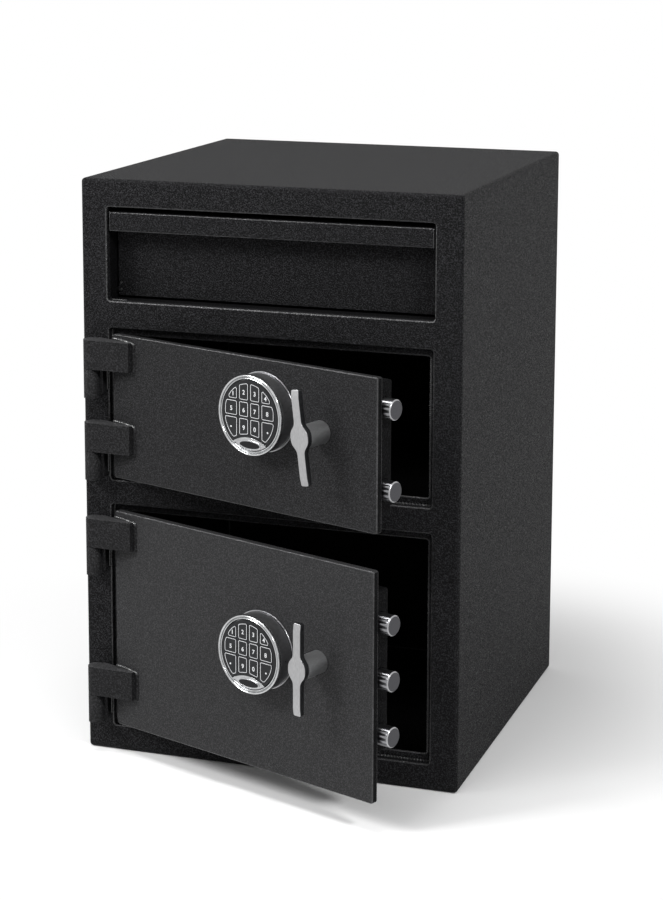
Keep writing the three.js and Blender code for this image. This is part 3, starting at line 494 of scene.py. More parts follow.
# The strap's front is the line from its end that just touches the barrel.
end_reach = math.hypot(STRAP_END, STRAP_END_FRONT)
touch = math.atan2(STRAP_END_FRONT, STRAP_END) - math.acos(BARREL / end_reach)
touch_x, touch_y = BARREL * math.cos(touch), BARREL * math.sin(touch)
strap = block("strap", (0.0, STRAP_END), (touch_y, DOOR_FRONT - SEAT), (0, LEAF))
pick(strap, "VERT", lambda v: v.co.x > STRAP_END - NEAR and v.co.y < 0)
bpy.ops.transform.translate(value=(0, STRAP_END_FRONT - touch_y, 0))
done()
pick(strap, "VERT", lambda v: v.co.x < NEAR and v.co.y < 0)
bpy.ops.transform.translate(value=(touch_x, 0, 0))
done()
combine(strap, rod("barrel", BARREL, (0, 0, 0), (0, 0, LEAF), 64), "UNION")
combine(strap, rod("bore", BORE, (0, 0, -OVERRUN), (0, 0, LEAF - CAP)), "DIFFERENCE")
strap.data.materials.append(hinge_coat)
strap.data.materials.append(strap_top_painted_light)
for face in strap.data.polygons:
    face.material_index = 1 if face.normal.z > 0.9 else 0
soften(strap, STRAP_EDGE, 2, clamp=True, coats=(hinge_coat, strap_top_painted_light, edge_coat))

# A weld bead lies on the door along the top of the strap and sinks towards its end. A flatter
# fillet runs down the end, and is sprayed over as heavily as the strap.
path = []
for i in range(19):
    share = i / 18
    x = DOOR_X[0] + STRAP_BEAD_START + share * (STRAP_END - DOOR_X[0])
    path.append((x, DOOR_FRONT, LEAF + STRAP_BEAD_RISE - STRAP_BEAD_SINK * share ** 2))
strap_weld = weld_bead("strap_weld", path, STRAP_BEAD)
strap_weld.data.materials.append(weld_coat)
end_x = STRAP_END + 0.0006
path = run_of((end_x, DOOR_FRONT, LEAF - 0.003), (end_x, DOOR_FRONT, 0.002), 0.0020)
end_weld = weld_bead("end_weld", path, END_BEAD, stretch=(1.3, 0.6, 1.0))
end_weld.data.materials.append(hinge_coat)

knuckle = block("knuckle", (-BARREL, KNUCKLE_END), (0, FRONT - SEAT - HINGE.y), (-LEAF, 0))
pick(knuckle, "EDGE", lambda e: all(v.co.x > 0 and v.co.z < NEAR - LEAF for v in e.verts))
bpy.ops.mesh.bevel(offset=KNUCKLE_CORNER, segments=5, affect="EDGES")
done()
combine(knuckle, rod("barrel", BARREL, (0, 0, -LEAF), (0, 0, 0), 64), "UNION")
combine(knuckle, rod("pin", PIN, (0, 0, PIN_FOOT - LEAF), (0, 0, PIN_TOP)), "UNION")
soften(knuckle, KNUCKLE_EDGE, 2, clamp=True, coats=(hinge_coat, edge_coat))
foot_y = FRONT - 2 * SEAT - HINGE.y
path = run_of((KNUCKLE_END, foot_y, -0.0035), (KNUCKLE_END, foot_y, KNUCKLE_CORNER - LEAF), LUMP_GAP)
knuckle_weld = weld_bead("knuckle_weld", path, KNUCKLE_BEAD)
knuckle_weld.data.materials.append(weld_coat)


def another(piece):
    """A copy of a piece, with a mesh of its own."""
    bpy.ops.object.select_all(action="DESELECT")
    piece.select_set(True)
    bpy.context.view_layer.objects.active = piece
    bpy.ops.object.duplicate()
    return bpy.context.object


for side, door in DOORS.items():
    for end, bottom in zip(("top", "bottom"), door["straps"]):
        made = hang(another(strap), side, (0, 0, bottom))
        complete(made, f"{side}_strap_{end}", f"{side}_door", "texture_black")
        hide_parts(f"{side}_hinge_strap_{end}")
        for piece, name in ((strap_weld, "weld"), (end_weld, "end_weld")):
            made = hang(another(piece), side, (0, 0, bottom))
            complete(made, f"{side}_strap_{end}_{name}", f"{side}_door", "texture_black")
        for piece, name in ((knuckle, "knuckle"), (knuckle_weld, "knuckle_weld")):
            made = another(piece)
            made.data.transform(Matrix.Translation((HINGE.x, HINGE.y, bottom - STRAP_GAP)))
            complete(made, f"{side}_{name}_{end}", "safe", "texture_black")
            if piece is knuckle:
                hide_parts(f"{side}_frame_knuckle_{end}")
for piece in (strap, strap_weld, end_weld, knuckle, knuckle_weld):
    bpy.data.objects.remove(piece)

# Bolt covers
# A folded 2 mm sheet box behind each door keeps the bolt work in. Its latch side has a round
# hole for each bolt, and the lower one also has a narrow slot. It has the inside's darker, dull
# coat, which is painted shade.

BOLT_Y = DOOR_FRONT + 0.026
COVER_X = (LATCH_EDGE - 0.2760, LATCH_EDGE - 0.0097)
COVER_BACK = 0.0555
COVER_SHEET, COVER_BEND, COVER_EDGE = 0.002, 0.0025, 0.0005
BOLT_HOLE = 0.0133
SLOT_Y, SLOT_Z = (0.0300, 0.0325), (0.214, 0.234)

for side, door in DOORS.items():
    z0, z1 = door["cover"]
    cover = block("cover", COVER_X, (DOOR_BACK + SEAT, COVER_BACK), (z0, z1))
    pick(cover, "EDGE", lambda e: not all(v.co.y < DOOR_BACK + NEAR for v in e.verts))
    bpy.ops.mesh.bevel(offset=COVER_BEND, segments=3, affect="EDGES")
    done()
    room = block("room", (COVER_X[0] + COVER_SHEET, COVER_X[1] - COVER_SHEET),
                 (DOOR_BACK - OVERRUN, COVER_BACK - COVER_SHEET), (z0 + COVER_SHEET, z1 - COVER_SHEET))
    combine(cover, room, "DIFFERENCE")
    near, far = COVER_X[1] - OVERRUN, COVER_X[1] + OVERRUN
    for z in door["bolts"]:
        combine(cover, rod("hole", BOLT_HOLE, (near, BOLT_Y, z), (far, BOLT_Y, z)), "DIFFERENCE")
    if side == "lower":
        combine(cover, block("slot", (near, far), SLOT_Y, SLOT_Z), "DIFFERENCE")
    soften(cover, COVER_EDGE, 2, clamp=True)
    hang(cover, side)
    complete(cover, f"{side}_bolt_cover", f"{side}_door", "texture_black", painted_shade_coat)
    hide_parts(f"{side}_bolt_housing")

# Bolts
# One-inch round bolts, turned from bright steel bar and left bare. The faced ends carry fine
# rings from the lathe and the chamfer catches the light. They ride on the bolt bar.

BOLT_RADIUS = 0.0127
BOLT_START, BOLT_END = LATCH_EDGE - 0.04414, LATCH_EDGE + 0.0113
BOLT_RIM, CHAMFER, END_RING = 0.0013, 0.0012, 0.0110
THROW, SWEEP = 0.02036, 50


def metal(name, code, rough, spread, grain_mm, relief_mm, mapped=False):
    """Bare or plated metal. Its polish or tool marks vary the tone and the sharpness of what it
    mirrors. They follow the object, or the piece's own map where they run round or along it."""
    material, tree, shader, place = blank_material(name)
    spot = add_node(tree, "ShaderNodeMapping", {"Scale": [1000.0 / mm for mm in grain_mm]},
                    {"Vector": place.outputs["UV" if mapped else "Object"]})
    marks = add_node(tree, "ShaderNodeTexNoise", {"Scale": 1.0, "Detail": 2.0},
                     {"Vector": spot.outputs["Vector"]})
    tint = add_node(tree, "ShaderNodeMix",
                    {"data_type": "RGBA", "A": toned(code, 0.72), "B": toned(code, 1.28)},
                    {"Factor": marks.outputs["Fac"]})
    sheen = add_node(tree, "ShaderNodeMapRange", {"To Min": rough - spread, "To Max": rough + spread},
                     {"Value": marks.outputs["Fac"]})
    relief = add_node(tree, "ShaderNodeBump", {"Strength": 0.5, "Distance": relief_mm / 1000.0},
                      {"Height": marks.outputs["Fac"]})
    shader.inputs["Metallic"].default_value = 1.0
    tree.links.new(tint.outputs["Result"], shader.inputs["Base Color"])
    tree.links.new(sheen.outputs["Result"], shader.inputs["Roughness"])
    tree.links.new(relief.outputs["Normal"], shader.inputs["Normal"])
    return material


def map_turning(piece, axis, centre=(0, 0, 0)):
    """A map for turned marks: how far along the axis a corner lies, and how far out from it."""
    turning = piece.data.uv_layers.new(name="turning")
    for loop in piece.data.loops:
        spot = piece.data.vertices[loop.vertex_index].co - Vector(centre)
        length = spot[axis]
        spot[axis] = 0
        turning.data[loop.index].uv = (length, spot.length)


# The bar's side is bright and the faced end duller, its colour painted darker as painted shade.
# The chamfer's colour is painted paler, a painted highlight that makes it a clear ring. The tool
# marks are drawn 1.5 mm apart, coarser than real ones, so that they show.
bolt_side = metal("turned_bright_steel", "#8a8a8d", rough=0.30, spread=0.08,
                  grain_mm=(1.5, 1.5, 1.5), relief_mm=0.05, mapped=True)
bolt_face = metal("faced_steel", "#4e4e51", rough=0.44, spread=0.08,
                  grain_mm=(1.5, 1.5, 1.5), relief_mm=0.05, mapped=True)
chamfer_highlight_steel = metal("chamfer_painted_highlight", "#a6a6a8", rough=0.28, spread=0.05,
                      grain_mm=(1.5, 1.5, 1.5), relief_mm=0.01, mapped=True)
# Zinc plate is pale and cloudy. The lock's bolt is ground lengthwise, which leaves fine lines.
zinc_plate = metal("zinc_plated_steel", "#8b8e91", rough=0.42, spread=0.08,
                   grain_mm=(2.0, 2.0, 2.0), relief_mm=0.02)
lock_steel = metal("ground_steel", "#8a8a8d", rough=0.34, spread=0.08,
                   grain_mm=(0.8, 0.8, 12.0), relief_mm=0.02)

bolt = rod("bolt", BOLT_RADIUS, (BOLT_START, BOLT_Y, 0), (BOLT_END, BOLT_Y, 0), 64)
pick(bolt, "FACE", lambda f: abs(f.normal.x) > 0.9)
bpy.ops.mesh.inset(thickness=BOLT_RIM, depth=0)
done()
pick(bolt, "EDGE", lambda e: sorted(abs(f.normal.x) > 0.9 for f in e.link_faces) == [False, True])
bpy.ops.mesh.bevel(offset=CHAMFER, segments=1, affect="EDGES")
done()
pick(bolt, "FACE", lambda f: abs(f.normal.x) > 0.99 and len(f.verts) > 4)
bpy.ops.mesh.inset(thickness=END_RING, depth=0)
done()
for finish in (bolt_side, bolt_face, chamfer_highlight_steel):
    bolt.data.materials.append(finish)
for face in bolt.data.polygons:
    facing = abs(face.normal.x)
    face.material_index = 1 if facing > 0.95 else 2 if facing > 0.3 else 0
map_turning(bolt, 0, (0, BOLT_Y, 0))
soften(bolt, 0, weigh=False)

for side, door in DOORS.items():
    drawn = THROW * door["turned"] / SWEEP
    for i, z in enumerate(door["bolts"]):
        made = hang(another(bolt), side, (-drawn, 0, z))
        complete(made, f"{side}_round_bolt_{i + 1}", f"{side}_bolts", "plain_steel")
        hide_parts(f"{side}_bolt_{i + 1}")
    finish_node(f"{side}_bolt_bar", zinc_plate)
    finish_node(f"{side}_lock_bolt", lock_steel)
    finish_node(f"{side}_lock_case", zinc_plate)
bpy.data.objects.remove(bolt)

# Keypads
# Round electronic keypads: a die-cast case, plated, with a bright rounded rim. A black plastic
# face sits in the rim above an arch, and below the arch is a chrome crescent with a bare badge.


def moulded(name, code, rough, grain_mm, relief_mm):
    """Moulded plastic or rubber with a fine spark-eroded grain."""
    material, tree, shader, place = blank_material(name)
    grain = add_node(tree, "ShaderNodeTexNoise", {"Scale": 1000.0 / grain_mm, "Detail": 2.0},
                     {"Vector": place.outputs["Object"]})
    sheen = add_node(tree, "ShaderNodeMapRange", {"To Min": rough - 0.05, "To Max": rough + 0.05},
                     {"Value": grain.outputs["Fac"]})
    skin = add_node(tree, "ShaderNodeBump", {"Strength": 0.5, "Distance": relief_mm / 1000.0},
                    {"Height": grain.outputs["Fac"]})
    shader.inputs["Base Color"].default_value = linear(code)
    shader.inputs["Specular IOR Level"].default_value = 0.25
    tree.links.new(sheen.outputs["Result"], shader.inputs["Roughness"])
    tree.links.new(skin.outputs["Normal"], shader.inputs["Normal"])
    return material


# Black nickel over a casting that isn't polished flat: it mirrors the dark door, half blurred.
case_chrome = metal("black_nickel_plate", "#b8b8ba", rough=0.30, spread=0.06,
                    grain_mm=(3.0, 6.0, 3.0), relief_mm=0.2)
# The rim is buffed before it is chromed, and throws back the light as sharp white arcs.
rim_chrome = metal("bright_chrome", "#bcbdbe", rough=0.18, spread=0.03,
                   grain_mm=(8.0, 8.0, 8.0), relief_mm=0.01)
# Moulded ABS has a soft sheen and silicone rubber is matt. Both are nearly black.
face_plastic = moulded("black_abs", "#161719", rough=0.42, grain_mm=0.8, relief_mm=0.03)
key_rubber = moulded("silicone_rubber", "#17181a", rough=0.55, grain_mm=0.6, relief_mm=0.02)
# Silver ink is printed on the keys, flat and pale. The badge is a lacquered oval, glossy and bare.
key_print = moulded("silver_screen_print", "#c9cacc", rough=0.45, grain_mm=0.5, relief_mm=0.01)
badge_gloss = moulded("gloss_black_inlay", "#0d0d0f", rough=0.16, grain_mm=2.0, relief_mm=0.005)


def lathe(name, profile, sides=144):
    """A turned form: a ring of points is drawn out of the door (-Y) and resized, step by step."""
    bpy.ops.object.select_all(action="DESELECT")
    radius, height = profile[0]
    bpy.ops.mesh.primitive_circle_add(vertices=sides, radius=radius, fill_type="NGON",
                                      rotation=(math.pi / 2, 0, 0), location=(0, -height, 0))
    made = bpy.context.object
    made.name = name
    bpy.ops.object.transform_apply(location=True, rotation=True, scale=True)
    pick(made, "FACE", lambda f: True)
    for next_radius, next_height in profile[1:]:
        bpy.ops.mesh.extrude_region_move(TRANSFORM_OT_translate={"value": (0, height - next_height, 0)})
        share = next_radius / radius
        bpy.ops.transform.resize(value=(share, 1, share), center_override=(0, -next_height, 0))
        radius, height = next_radius, next_height
    bpy.ops.mesh.select_all(action="SELECT")
    bpy.ops.mesh.normals_make_consistent(inside=False)
    done()
    return made


def disc(name, radius, near, far, x=0.0, z=0.0, sides=96):
    """A round plate that faces out of the door, between two distances from it."""
    return rod(name, radius, (x, -near, z), (x, -far, z), sides)


# The case from the door outwards, as radius and distance: a foot, a groove, the plain wall, and
# the rim with its outer ridge, a valley and its inner ridge
CASE_PROFILE = (
    (0.0500, SEAT), (0.0500, 0.0015), (0.0498, 0.0017), (0.0487, 0.0017), (0.0484, 0.0020),
    (0.0484, 0.0031), (0.0489, 0.0033), (0.0489, 0.0218), (0.0495, 0.0228), (0.0499, 0.0242),
    (0.0500, 0.0256), (0.0498, 0.0268), (0.0492, 0.0277), (0.0484, 0.0279), (0.0477, 0.0274),
    (0.0472, 0.0264), (0.0469, 0.0254), (0.0466, 0.0254), (0.0463, 0.0262), (0.0458, 0.0270),
    (0.0451, 0.0272), (0.0445, 0.0266), (0.0441, 0.0254), (0.0438, 0.0222),
)
GROOVE = (0.0018, 0.0032)
RIM_START, RIM_INSIDE = 0.0221, 0.0435
ARCH_Z, ARCH = -0.0765, 0.0490
ARCH_RIB, FACE_CLEAR = 0.0022, 0.0003
# The pieces within the rim: their radius, and how far out of the door each starts and ends
CRESCENT_RADIUS, CRESCENT_OUT = 0.0437, (0.0223, 0.0262)
RIB_RADIUS, RIB_OUT = 0.0439, (0.0230, 0.0275)
FACE_OUT, CUT_OUT = (0.0248, 0.0270), (0.01, 0.04)
BADGE_Z, BADGE_BACK = -0.0368, 0.0255
CRESCENT_EDGE, RIB_EDGE, BADGE_EDGE = 0.0004, 0.0006, 0.0003
keypad_parts = []

case = lathe("case", CASE_PROFILE)
for finish in (case_chrome, rim_chrome, face_plastic):
    case.data.materials.append(finish)
# The groove takes the face's black plastic: painted shade in the gap at the case's foot.
for face in case.data.polygons:
    out, wide = -face.center.y, math.hypot(face.center.x, face.center.z)
    on_rim = out > RIM_START and wide > RIM_INSIDE
    face.material_index = 1 if on_rim else 2 if GROOVE[0] < out < GROOVE[1] else 0
soften(case, 0, weigh=False)
keypad_parts.append((case, "keypad_rim", "door", "dark_chrome", "keypad_case"))

crescent = disc("crescent", CRESCENT_RADIUS, *CRESCENT_OUT)
combine(crescent, disc("arch", ARCH, *CUT_OUT, z=ARCH_Z, sides=160), "INTERSECT")
soften(crescent, CRESCENT_EDGE, 2, clamp=True, coats=(case_chrome,))
keypad_parts.append((crescent, "keypad_crescent", "door", "dark_chrome", None))

rib = disc("rib", RIB_RADIUS, *RIB_OUT)
combine(rib, disc("arch", ARCH, *CUT_OUT, z=ARCH_Z, sides=160), "INTERSECT")
combine(rib, disc("arch", ARCH - ARCH_RIB, *CUT_OUT, z=ARCH_Z, sides=160), "DIFFERENCE")
soften(rib, RIB_EDGE, 2, clamp=True, coats=(rim_chrome,))
keypad_parts.append((rib, "keypad_arch", "door", "dark_chrome", None))

for name, half_x, half_z, top, finish in (("edge", 0.0172, 0.0056, 0.0271, rim_chrome),
                                          ("inlay", 0.0158, 0.0044, 0.0274, badge_gloss)):
    badge = disc(name, 1.0, BADGE_BACK, top, sides=64)
    pick(badge, "VERT", lambda v: True)
    bpy.ops.transform.resize(value=(half_x, 1, half_z), center_override=(0, 0, 0))
    bpy.ops.transform.translate(value=(0, 0, BADGE_Z))
    done()
    soften(badge, BADGE_EDGE, 2, clamp=True, coats=(finish,))
    keypad_parts.append((badge, f"keypad_badge_{name}", "door", "dark_chrome", None))

# Twelve keys in four columns and three rows, kept within the round field and above the arch
COLUMNS = ((-0.0395, -0.01945), (-0.01595, -0.00175), (0.00175, 0.01595), (0.01945, 0.0395))
ROWS = ((0.0181, 0.0395), (-0.0025, 0.0160), (-0.0395, -0.0046))
KEYS = (("1", "2", "3", "4"), ("5", "6", "7", "8"), ("clear", "9", "0", "enter"))
FIELD, ABOVE_ARCH, KEY_CORNER, KEY_GAP = 0.0395, 0.0035, 0.0022, 0.00035
KEY_BACK, KEY_TOP, KEY_EDGE, KEY_LINE = 0.0253, 0.0277, 0.0003, 0.00066
DIGIT_SIZE, DIGIT_WEIGHT, DIGIT_RAISED, DIGIT_DROP = 0.0078, 0.00014, 0.00008, 0.0014
DIGIT_OUT = 0.02775
DIGIT_INWARD_SHARE = 0.985
DOT_RADIUS, DOT_OUT = 0.0012, (0.0276, 0.02783)


def key_posts(column, row):
    """Points along the top and bottom of a key, one corner radius in from its outline."""
    posts = []
    field, arch = FIELD - KEY_CORNER, ARCH + ABOVE_ARCH + KEY_CORNER
    left, right = column[0] + KEY_CORNER, column[1] - KEY_CORNER
    for i in range(17):
        x = left + (right - left) * i / 16
        if abs(x) < field:
            chord = math.sqrt(field ** 2 - x ** 2)
            top = min(row[1] - KEY_CORNER, chord)
            bottom = max(row[0] + KEY_CORNER, -chord, ARCH_Z + math.sqrt(arch ** 2 - x ** 2))
            if top >= bottom:
                posts += [(x, top), (x, bottom)]
    return posts


def key_shape(name, posts, radius, near, far):
    """A key with rounded corners: a thin round post at each point, wrapped in one convex hull."""
    shape = disc(name, radius, near, far, *posts[0], sides=24)
    pick(shape, "FACE", lambda f: True)
    for x, z in posts[1:]:
        bpy.ops.mesh.primitive_cylinder_add(vertices=24, radius=radius, depth=far - near,
                                            location=(x, -(near + far) / 2, z),
                                            rotation=(math.pi / 2, 0, 0))
    bpy.ops.mesh.select_all(action="SELECT")
    bpy.ops.mesh.convex_hull()
    bpy.ops.mesh.select_all(action="SELECT")
    bpy.ops.mesh.remove_doubles(threshold=0.00002)
    bpy.ops.mesh.dissolve_limited(angle_limit=math.radians(1))
    bpy.ops.mesh.normals_make_consistent(inside=False)
    done()
    return shape


def printed_mark(key_name, x, z):
    """What is printed on a key: its digit, or a dot on the two keys that have no digit."""
    if not key_name.isdigit():
        return disc("mark", DOT_RADIUS, *DOT_OUT, x, z, 24)
    bpy.ops.object.select_all(action="DESELECT")
    bpy.ops.object.text_add(rotation=(math.pi / 2, 0, 0),
                            location=(x * DIGIT_INWARD_SHARE, -DIGIT_OUT, z - DIGIT_DROP))
    mark = bpy.context.object
    mark.data.body = key_name
    mark.data.size = DIGIT_SIZE
    mark.data.align_x = "CENTER"
    mark.data.align_y = "CENTER"
    mark.data.offset = DIGIT_WEIGHT
    mark.data.extrude = DIGIT_RAISED
    bpy.ops.object.convert(target="MESH")
    mark = bpy.context.object
    bpy.ops.object.transform_apply(location=True, rotation=True, scale=True)
    return mark


face = disc("face", RIM_INSIDE, *FACE_OUT)
combine(face, disc("arch", ARCH + FACE_CLEAR, *CUT_OUT, z=ARCH_Z, sides=160), "DIFFERENCE")

for row, names in zip(ROWS, KEYS):
    for column, key_name in zip(COLUMNS, names):
        posts = key_posts(column, row)
        key = key_shape("key", posts, KEY_CORNER, KEY_BACK, KEY_TOP)
        combine(face, key_shape("hole", posts, KEY_CORNER + KEY_GAP, *CUT_OUT), "DIFFERENCE")

        key.data.materials.append(key_rubber)
        key.data.materials.append(key_print)
        pick(key, "EDGE", lambda e: all(v.co.y < 0.0002 - KEY_TOP for v in e.verts))
        bpy.ops.mesh.bevel(offset=KEY_EDGE, segments=2, affect="EDGES")
        done()
        pick(key, "FACE", lambda f: f.normal.y < -0.99)
        key.active_material_index = 1
        bpy.ops.object.material_slot_assign()
        bpy.ops.mesh.inset(thickness=KEY_LINE, depth=0)
        key.active_material_index = 0
        bpy.ops.object.material_slot_assign()
        done()
        soften(key, 0, weigh=False)

        across, upward = [p[0] for p in posts], [p[1] for p in posts]
        mark = printed_mark(key_name, (min(across) + max(across)) / 2, (min(upward) + max(upward)) / 2)
        mark.data.materials.clear()
        mark.data.materials.append(key_print)
        bpy.ops.object.select_all(action="DESELECT")
        mark.select_set(True)
        key.select_set(True)
        bpy.context.view_layer.objects.active = key
        bpy.ops.object.join()
        node = f"key_{key_name}"
        keypad_parts.append((key, f"button_{key_name}", node, "key_rubber", node))

soften(face, 0, coats=(face_plastic,))
keypad_parts.append((face, "keypad_plate", "door", "keypad_black", "keypad_face"))

for piece, name, body, slot, node in keypad_parts:
    for side, door in DOORS.items():
        made = hang(another(piece), side, (KEYPAD_X, DOOR_FRONT, door["keypad"]))
        complete(made, f"{side}_{name}", f"{side}_{body}", slot)
        if node:
            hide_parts(f"{side}_{node}")
    bpy.data.objects.remove(piece)

# Handles
# A die-cast bar with a swelled hub, on a thick round shaft. The front face is satin plated and
# the sides and shaft are polished. Through the door its spindle turns the cam of the bolt work.

ARM_HALF = 0.0056
HUB_WIDTHS = (
    (0.0206, ARM_HALF), (0.0172, 0.0060), (0.0143, 0.0072), (0.0113, 0.0095),
    (0.0084, 0.0117), (0.0050, 0.0130), (0.0017, 0.0134),
)
BAR_HALF, BAR_FRONT, BAR_BACK = 0.058, -0.042, -0.034
TIP, TIP_FALL, TIP_ROUND = 0.010, 0.0014, 0.0022
BAR_EDGE = 0.0007
# A corner of the bar this close to a cut or an end counts as on it.
CLOSE = 0.0005
SHAFT, SHAFT_FRONT = 0.0143, -0.0338
SPINDLE, SPINDLE_END = 0.008, 0.036
CAM_START, CAM_REACH, CAM_CORNER = 0.031, 0.02409, 0.003
LUG, LUG_Y = 0.004, (0.024, 0.0315)

# The front is brushed along the bar before a satin plate, which blurs what it mirrors.
satin_plate = metal("satin_plated_casting", "#ababac", rough=0.38, spread=0.06,
                    grain_mm=(0.7, 0.7, 5.0), relief_mm=0.02)
# The sides are polished and mirror the dark door. Their colour is also painted darker than the
# front's, a painted reflection of the dark door.
side_plate = metal("polished_plated_sides", "#606163", rough=0.32, spread=0.06,
                   grain_mm=(4.0, 4.0, 4.0), relief_mm=0.01)
# The shaft is polished lengthwise, in its roughness and relief. Its colour is painted to darken
# and clear in soft streaks towards the door: painted reflections.
shaft_plate = metal("polished_plated_shaft", "#c8c9ca", rough=0.37, spread=0.10,
                    grain_mm=(5.0, 90.0, 5.0), relief_mm=0.6, mapped=True)


def map_around(piece):
    """A map for marks that run along a shaft on the Y axis: how far round it, and how far along."""
    around = piece.data.uv_layers.new(name="around")
    for loop in piece.data.loops:
        spot = piece.data.vertices[loop.vertex_index].co
        turn = math.atan2(spot.x, -spot.z)
        around.data[loop.index].uv = (SHAFT * turn, spot.y)


bar = block("bar", (-ARM_HALF, ARM_HALF), (BAR_FRONT, BAR_BACK), (-BAR_HALF, BAR_HALF))
for z in [height for height, _ in HUB_WIDTHS] + [BAR_HALF - TIP]:
    for sign in (-1, 1):
        pick(bar, "FACE", lambda f: True)
        bpy.ops.mesh.bisect(plane_co=(0, 0, sign * z), plane_no=(0, 0, 1))
        done()
for z, width in HUB_WIDTHS:
    pick(bar, "VERT", lambda v: abs(abs(v.co.z) - z) < CLOSE)
    bpy.ops.transform.resize(value=(width / ARM_HALF, 1, 1), center_override=(0, 0, 0))
    done()


def at_tip(vertex):
    """A test for the corners of the bar's two ends."""
    return abs(vertex.co.z) > BAR_HALF - CLOSE


pick(bar, "VERT", lambda v: at_tip(v) and v.co.y < BAR_FRONT + CLOSE)
bpy.ops.transform.translate(value=(0, TIP_FALL, 0))
done()
pick(bar, "EDGE", lambda e: at_tip(e.verts[0]) and at_tip(e.verts[1])
     and abs(e.verts[0].co.x - e.verts[1].co.x) < NEAR)
bpy.ops.mesh.bevel(offset=TIP_ROUND, segments=4, affect="EDGES")
done()
bar.data.materials.append(satin_plate)
bar.data.materials.append(side_plate)
for face in bar.data.polygons:
    face.material_index = 0 if face.normal.y < -0.9 else 1
soften(bar, BAR_EDGE, 2, degrees=60, clamp=True)

shaft = rod("shaft", SHAFT, (0, SHAFT_FRONT, 0), (0, -SEAT, 0), 96)
combine(shaft, rod("spindle", SPINDLE, (0, -2 * SEAT, 0), (0, SPINDLE_END, 0)), "UNION")
cam_turn = math.radians(25)
cam = block("cam", (-SPINDLE, SPINDLE), (CAM_START, SPINDLE_END), (0, CAM_REACH + CAM_CORNER))
round_corners(cam, 1, CAM_CORNER)
cam.data.transform(Matrix.Rotation(cam_turn, 4, "Y"))
combine(shaft, cam, "UNION")
lug_at = CAM_REACH * Vector((math.sin(cam_turn), 0, math.cos(cam_turn)))
lug = rod("lug", LUG, lug_at + Vector((0, LUG_Y[0], 0)), lug_at + Vector((0, LUG_Y[1], 0)), 24)
combine(shaft, lug, "UNION")
map_around(shaft)
soften(shaft, 0, coats=(shaft_plate,), weigh=False)

for side, door in DOORS.items():
    made = hang(another(bar), side, (HANDLE_X, DOOR_FRONT, door["handle"]), door["turned"])
    complete(made, f"{side}_door_handle", f"{side}_handle", "satin_steel")
    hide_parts(f"{side}_handle")
    made = hang(another(shaft), side, (HANDLE_X, DOOR_FRONT, door["handle"]), door["turned"])
    complete(made, f"{side}_handle_shaft", f"{side}_handle", "satin_steel")
for piece in (bar, shaft):
    bpy.data.objects.remove(piece)

# Floor, lights and camera
# A plain white studio: pale floor, white surroundings, and soft lamps at the front left, at the
# front right and above. The camera stands where the photograph was taken from.

FLOOR_SIZE, FLOOR_DROP = 24, 0.0005
CAMERA_PLACE = (0.9742, -2.8822, 1.1210)
CAMERA_SWING, CAMERA_TILT, CAMERA_ROLL = 0.3262, 0.1642, 0.0028
LENS, SHIFT = 90.862, -0.2
AIM = (0, -0.2, 0.35)


def white_to_eye(tree):
    """White for what the camera sees, directly or in metal or glass, and nothing for other rays."""
    rays = add_node(tree, "ShaderNodeLightPath")
    mirror = add_node(tree, "ShaderNodeMath", {"operation": "MAXIMUM"})
    tree.links.new(rays.outputs["Is Glossy Ray"], mirror.inputs[0])
    tree.links.new(rays.outputs["Is Transmission Ray"], mirror.inputs[1])
    seen = add_node(tree, "ShaderNodeMath", {"operation": "MAXIMUM"})
    tree.links.new(rays.outputs["Is Camera Ray"], seen.inputs[0])
    tree.links.new(mirror.outputs["Value"], seen.inputs[1])
    return seen.outputs["Value"]


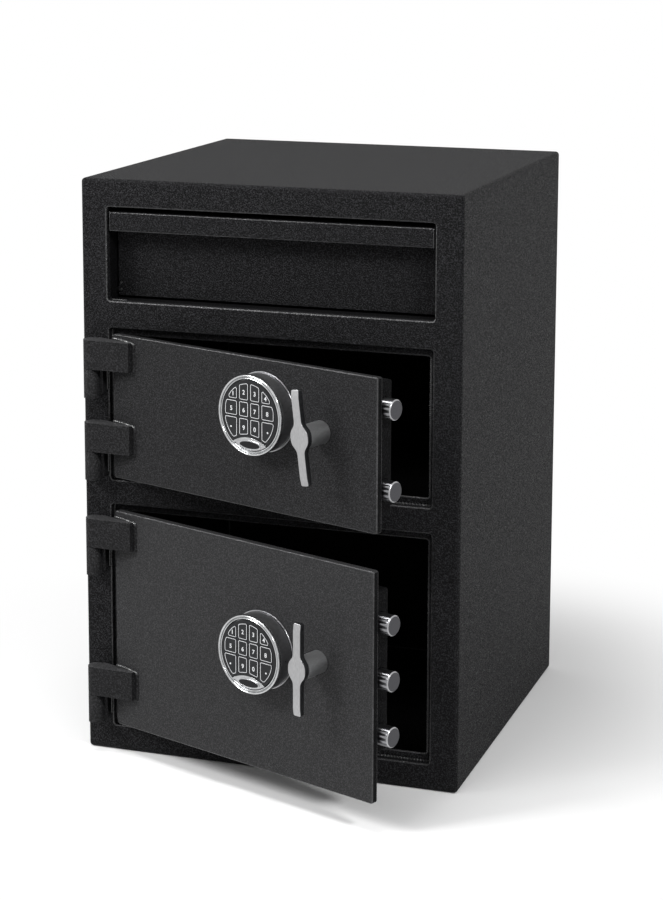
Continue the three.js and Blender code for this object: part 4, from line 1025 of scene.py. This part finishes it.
# Matt white background paper. It keeps the safe's shadow, and further out it fades to pure white.
floor_paper, tree, shader, place = blank_material("matt_white_floor")
shader.inputs["Base Color"].default_value = linear("#f6f6f6")
shader.inputs["Roughness"].default_value = 0.9
reach = add_node(tree, "ShaderNodeVectorMath", {"operation": "LENGTH"},
                 {"Vector": place.outputs["Object"]})
far = add_node(tree, "ShaderNodeMapRange",
               {"From Min": 0.35, "From Max": 0.8, "interpolation_type": "SMOOTHSTEP"},
               {"Value": reach.outputs["Value"]})
share = add_node(tree, "ShaderNodeMath", {"operation": "MULTIPLY"})
tree.links.new(far.outputs["Result"], share.inputs[0])
tree.links.new(white_to_eye(tree), share.inputs[1])
glow = add_node(tree, "ShaderNodeEmission", {"Color": linear("#ffffff"), "Strength": 1.0})
blend = add_node(tree, "ShaderNodeMixShader", {}, {"Fac": share.outputs["Value"]})
tree.links.new(shader.outputs["BSDF"], blend.inputs[1])
tree.links.new(glow.outputs["Emission"], blend.inputs[2])
tree.links.new(blend.outputs["Shader"], tree.nodes["Material Output"].inputs["Surface"])
bpy.ops.object.select_all(action="DESELECT")
bpy.ops.mesh.primitive_plane_add(size=FLOOR_SIZE, location=(0, 0, -FLOOR_DROP))
floor = bpy.context.object
floor.name = "studio_floor"
floor.data.materials.append(floor_paper)

world = bpy.data.worlds.new("studio_surround")
world.use_nodes = True
tree = world.node_tree
background = tree.nodes["Background"]
level = add_node(tree, "ShaderNodeMapRange", {"To Min": 0.40, "To Max": 1.0},
                 {"Value": white_to_eye(tree)})
background.inputs["Color"].default_value = linear("#ffffff")
tree.links.new(level.outputs["Result"], background.inputs["Strength"])
bpy.context.scene.world = world


def soft_lamp(name, place, size, power):
    """A large square lamp at a place, turned to face the safe."""
    bpy.ops.object.light_add(type="AREA", location=place)
    lamp = bpy.context.object
    lamp.name = name
    lamp.data.size = size
    lamp.data.energy = power
    lamp.rotation_euler = (Vector(AIM) - Vector(place)).to_track_quat("-Z", "Y").to_euler()


soft_lamp("left_lamp", (-1.7, -1.6, 1.9), size=0.9, power=60)
soft_lamp("right_lamp", (1.8, -1.5, 1.9), size=0.35, power=36)
soft_lamp("top_lamp", (-0.2, -0.8, 2.8), size=0.8, power=24)

bpy.ops.object.camera_add()
camera = bpy.context.object
camera.name = "photo_camera"
camera.data.sensor_width = 36
camera.data.lens = LENS
camera.data.shift_y = SHIFT
camera.data.clip_end = 60
camera.data.dof.use_dof = False
level_turn = Matrix.Rotation(CAMERA_SWING, 4, "Z") @ Matrix.Rotation(math.pi / 2 - CAMERA_TILT, 4, "X")
turn = level_turn @ Matrix.Rotation(CAMERA_ROLL, 4, "Z")
camera.matrix_world = Matrix.Translation(CAMERA_PLACE) @ turn
bpy.context.scene.camera = camera
bpy.context.scene.view_settings.view_transform = "Standard"
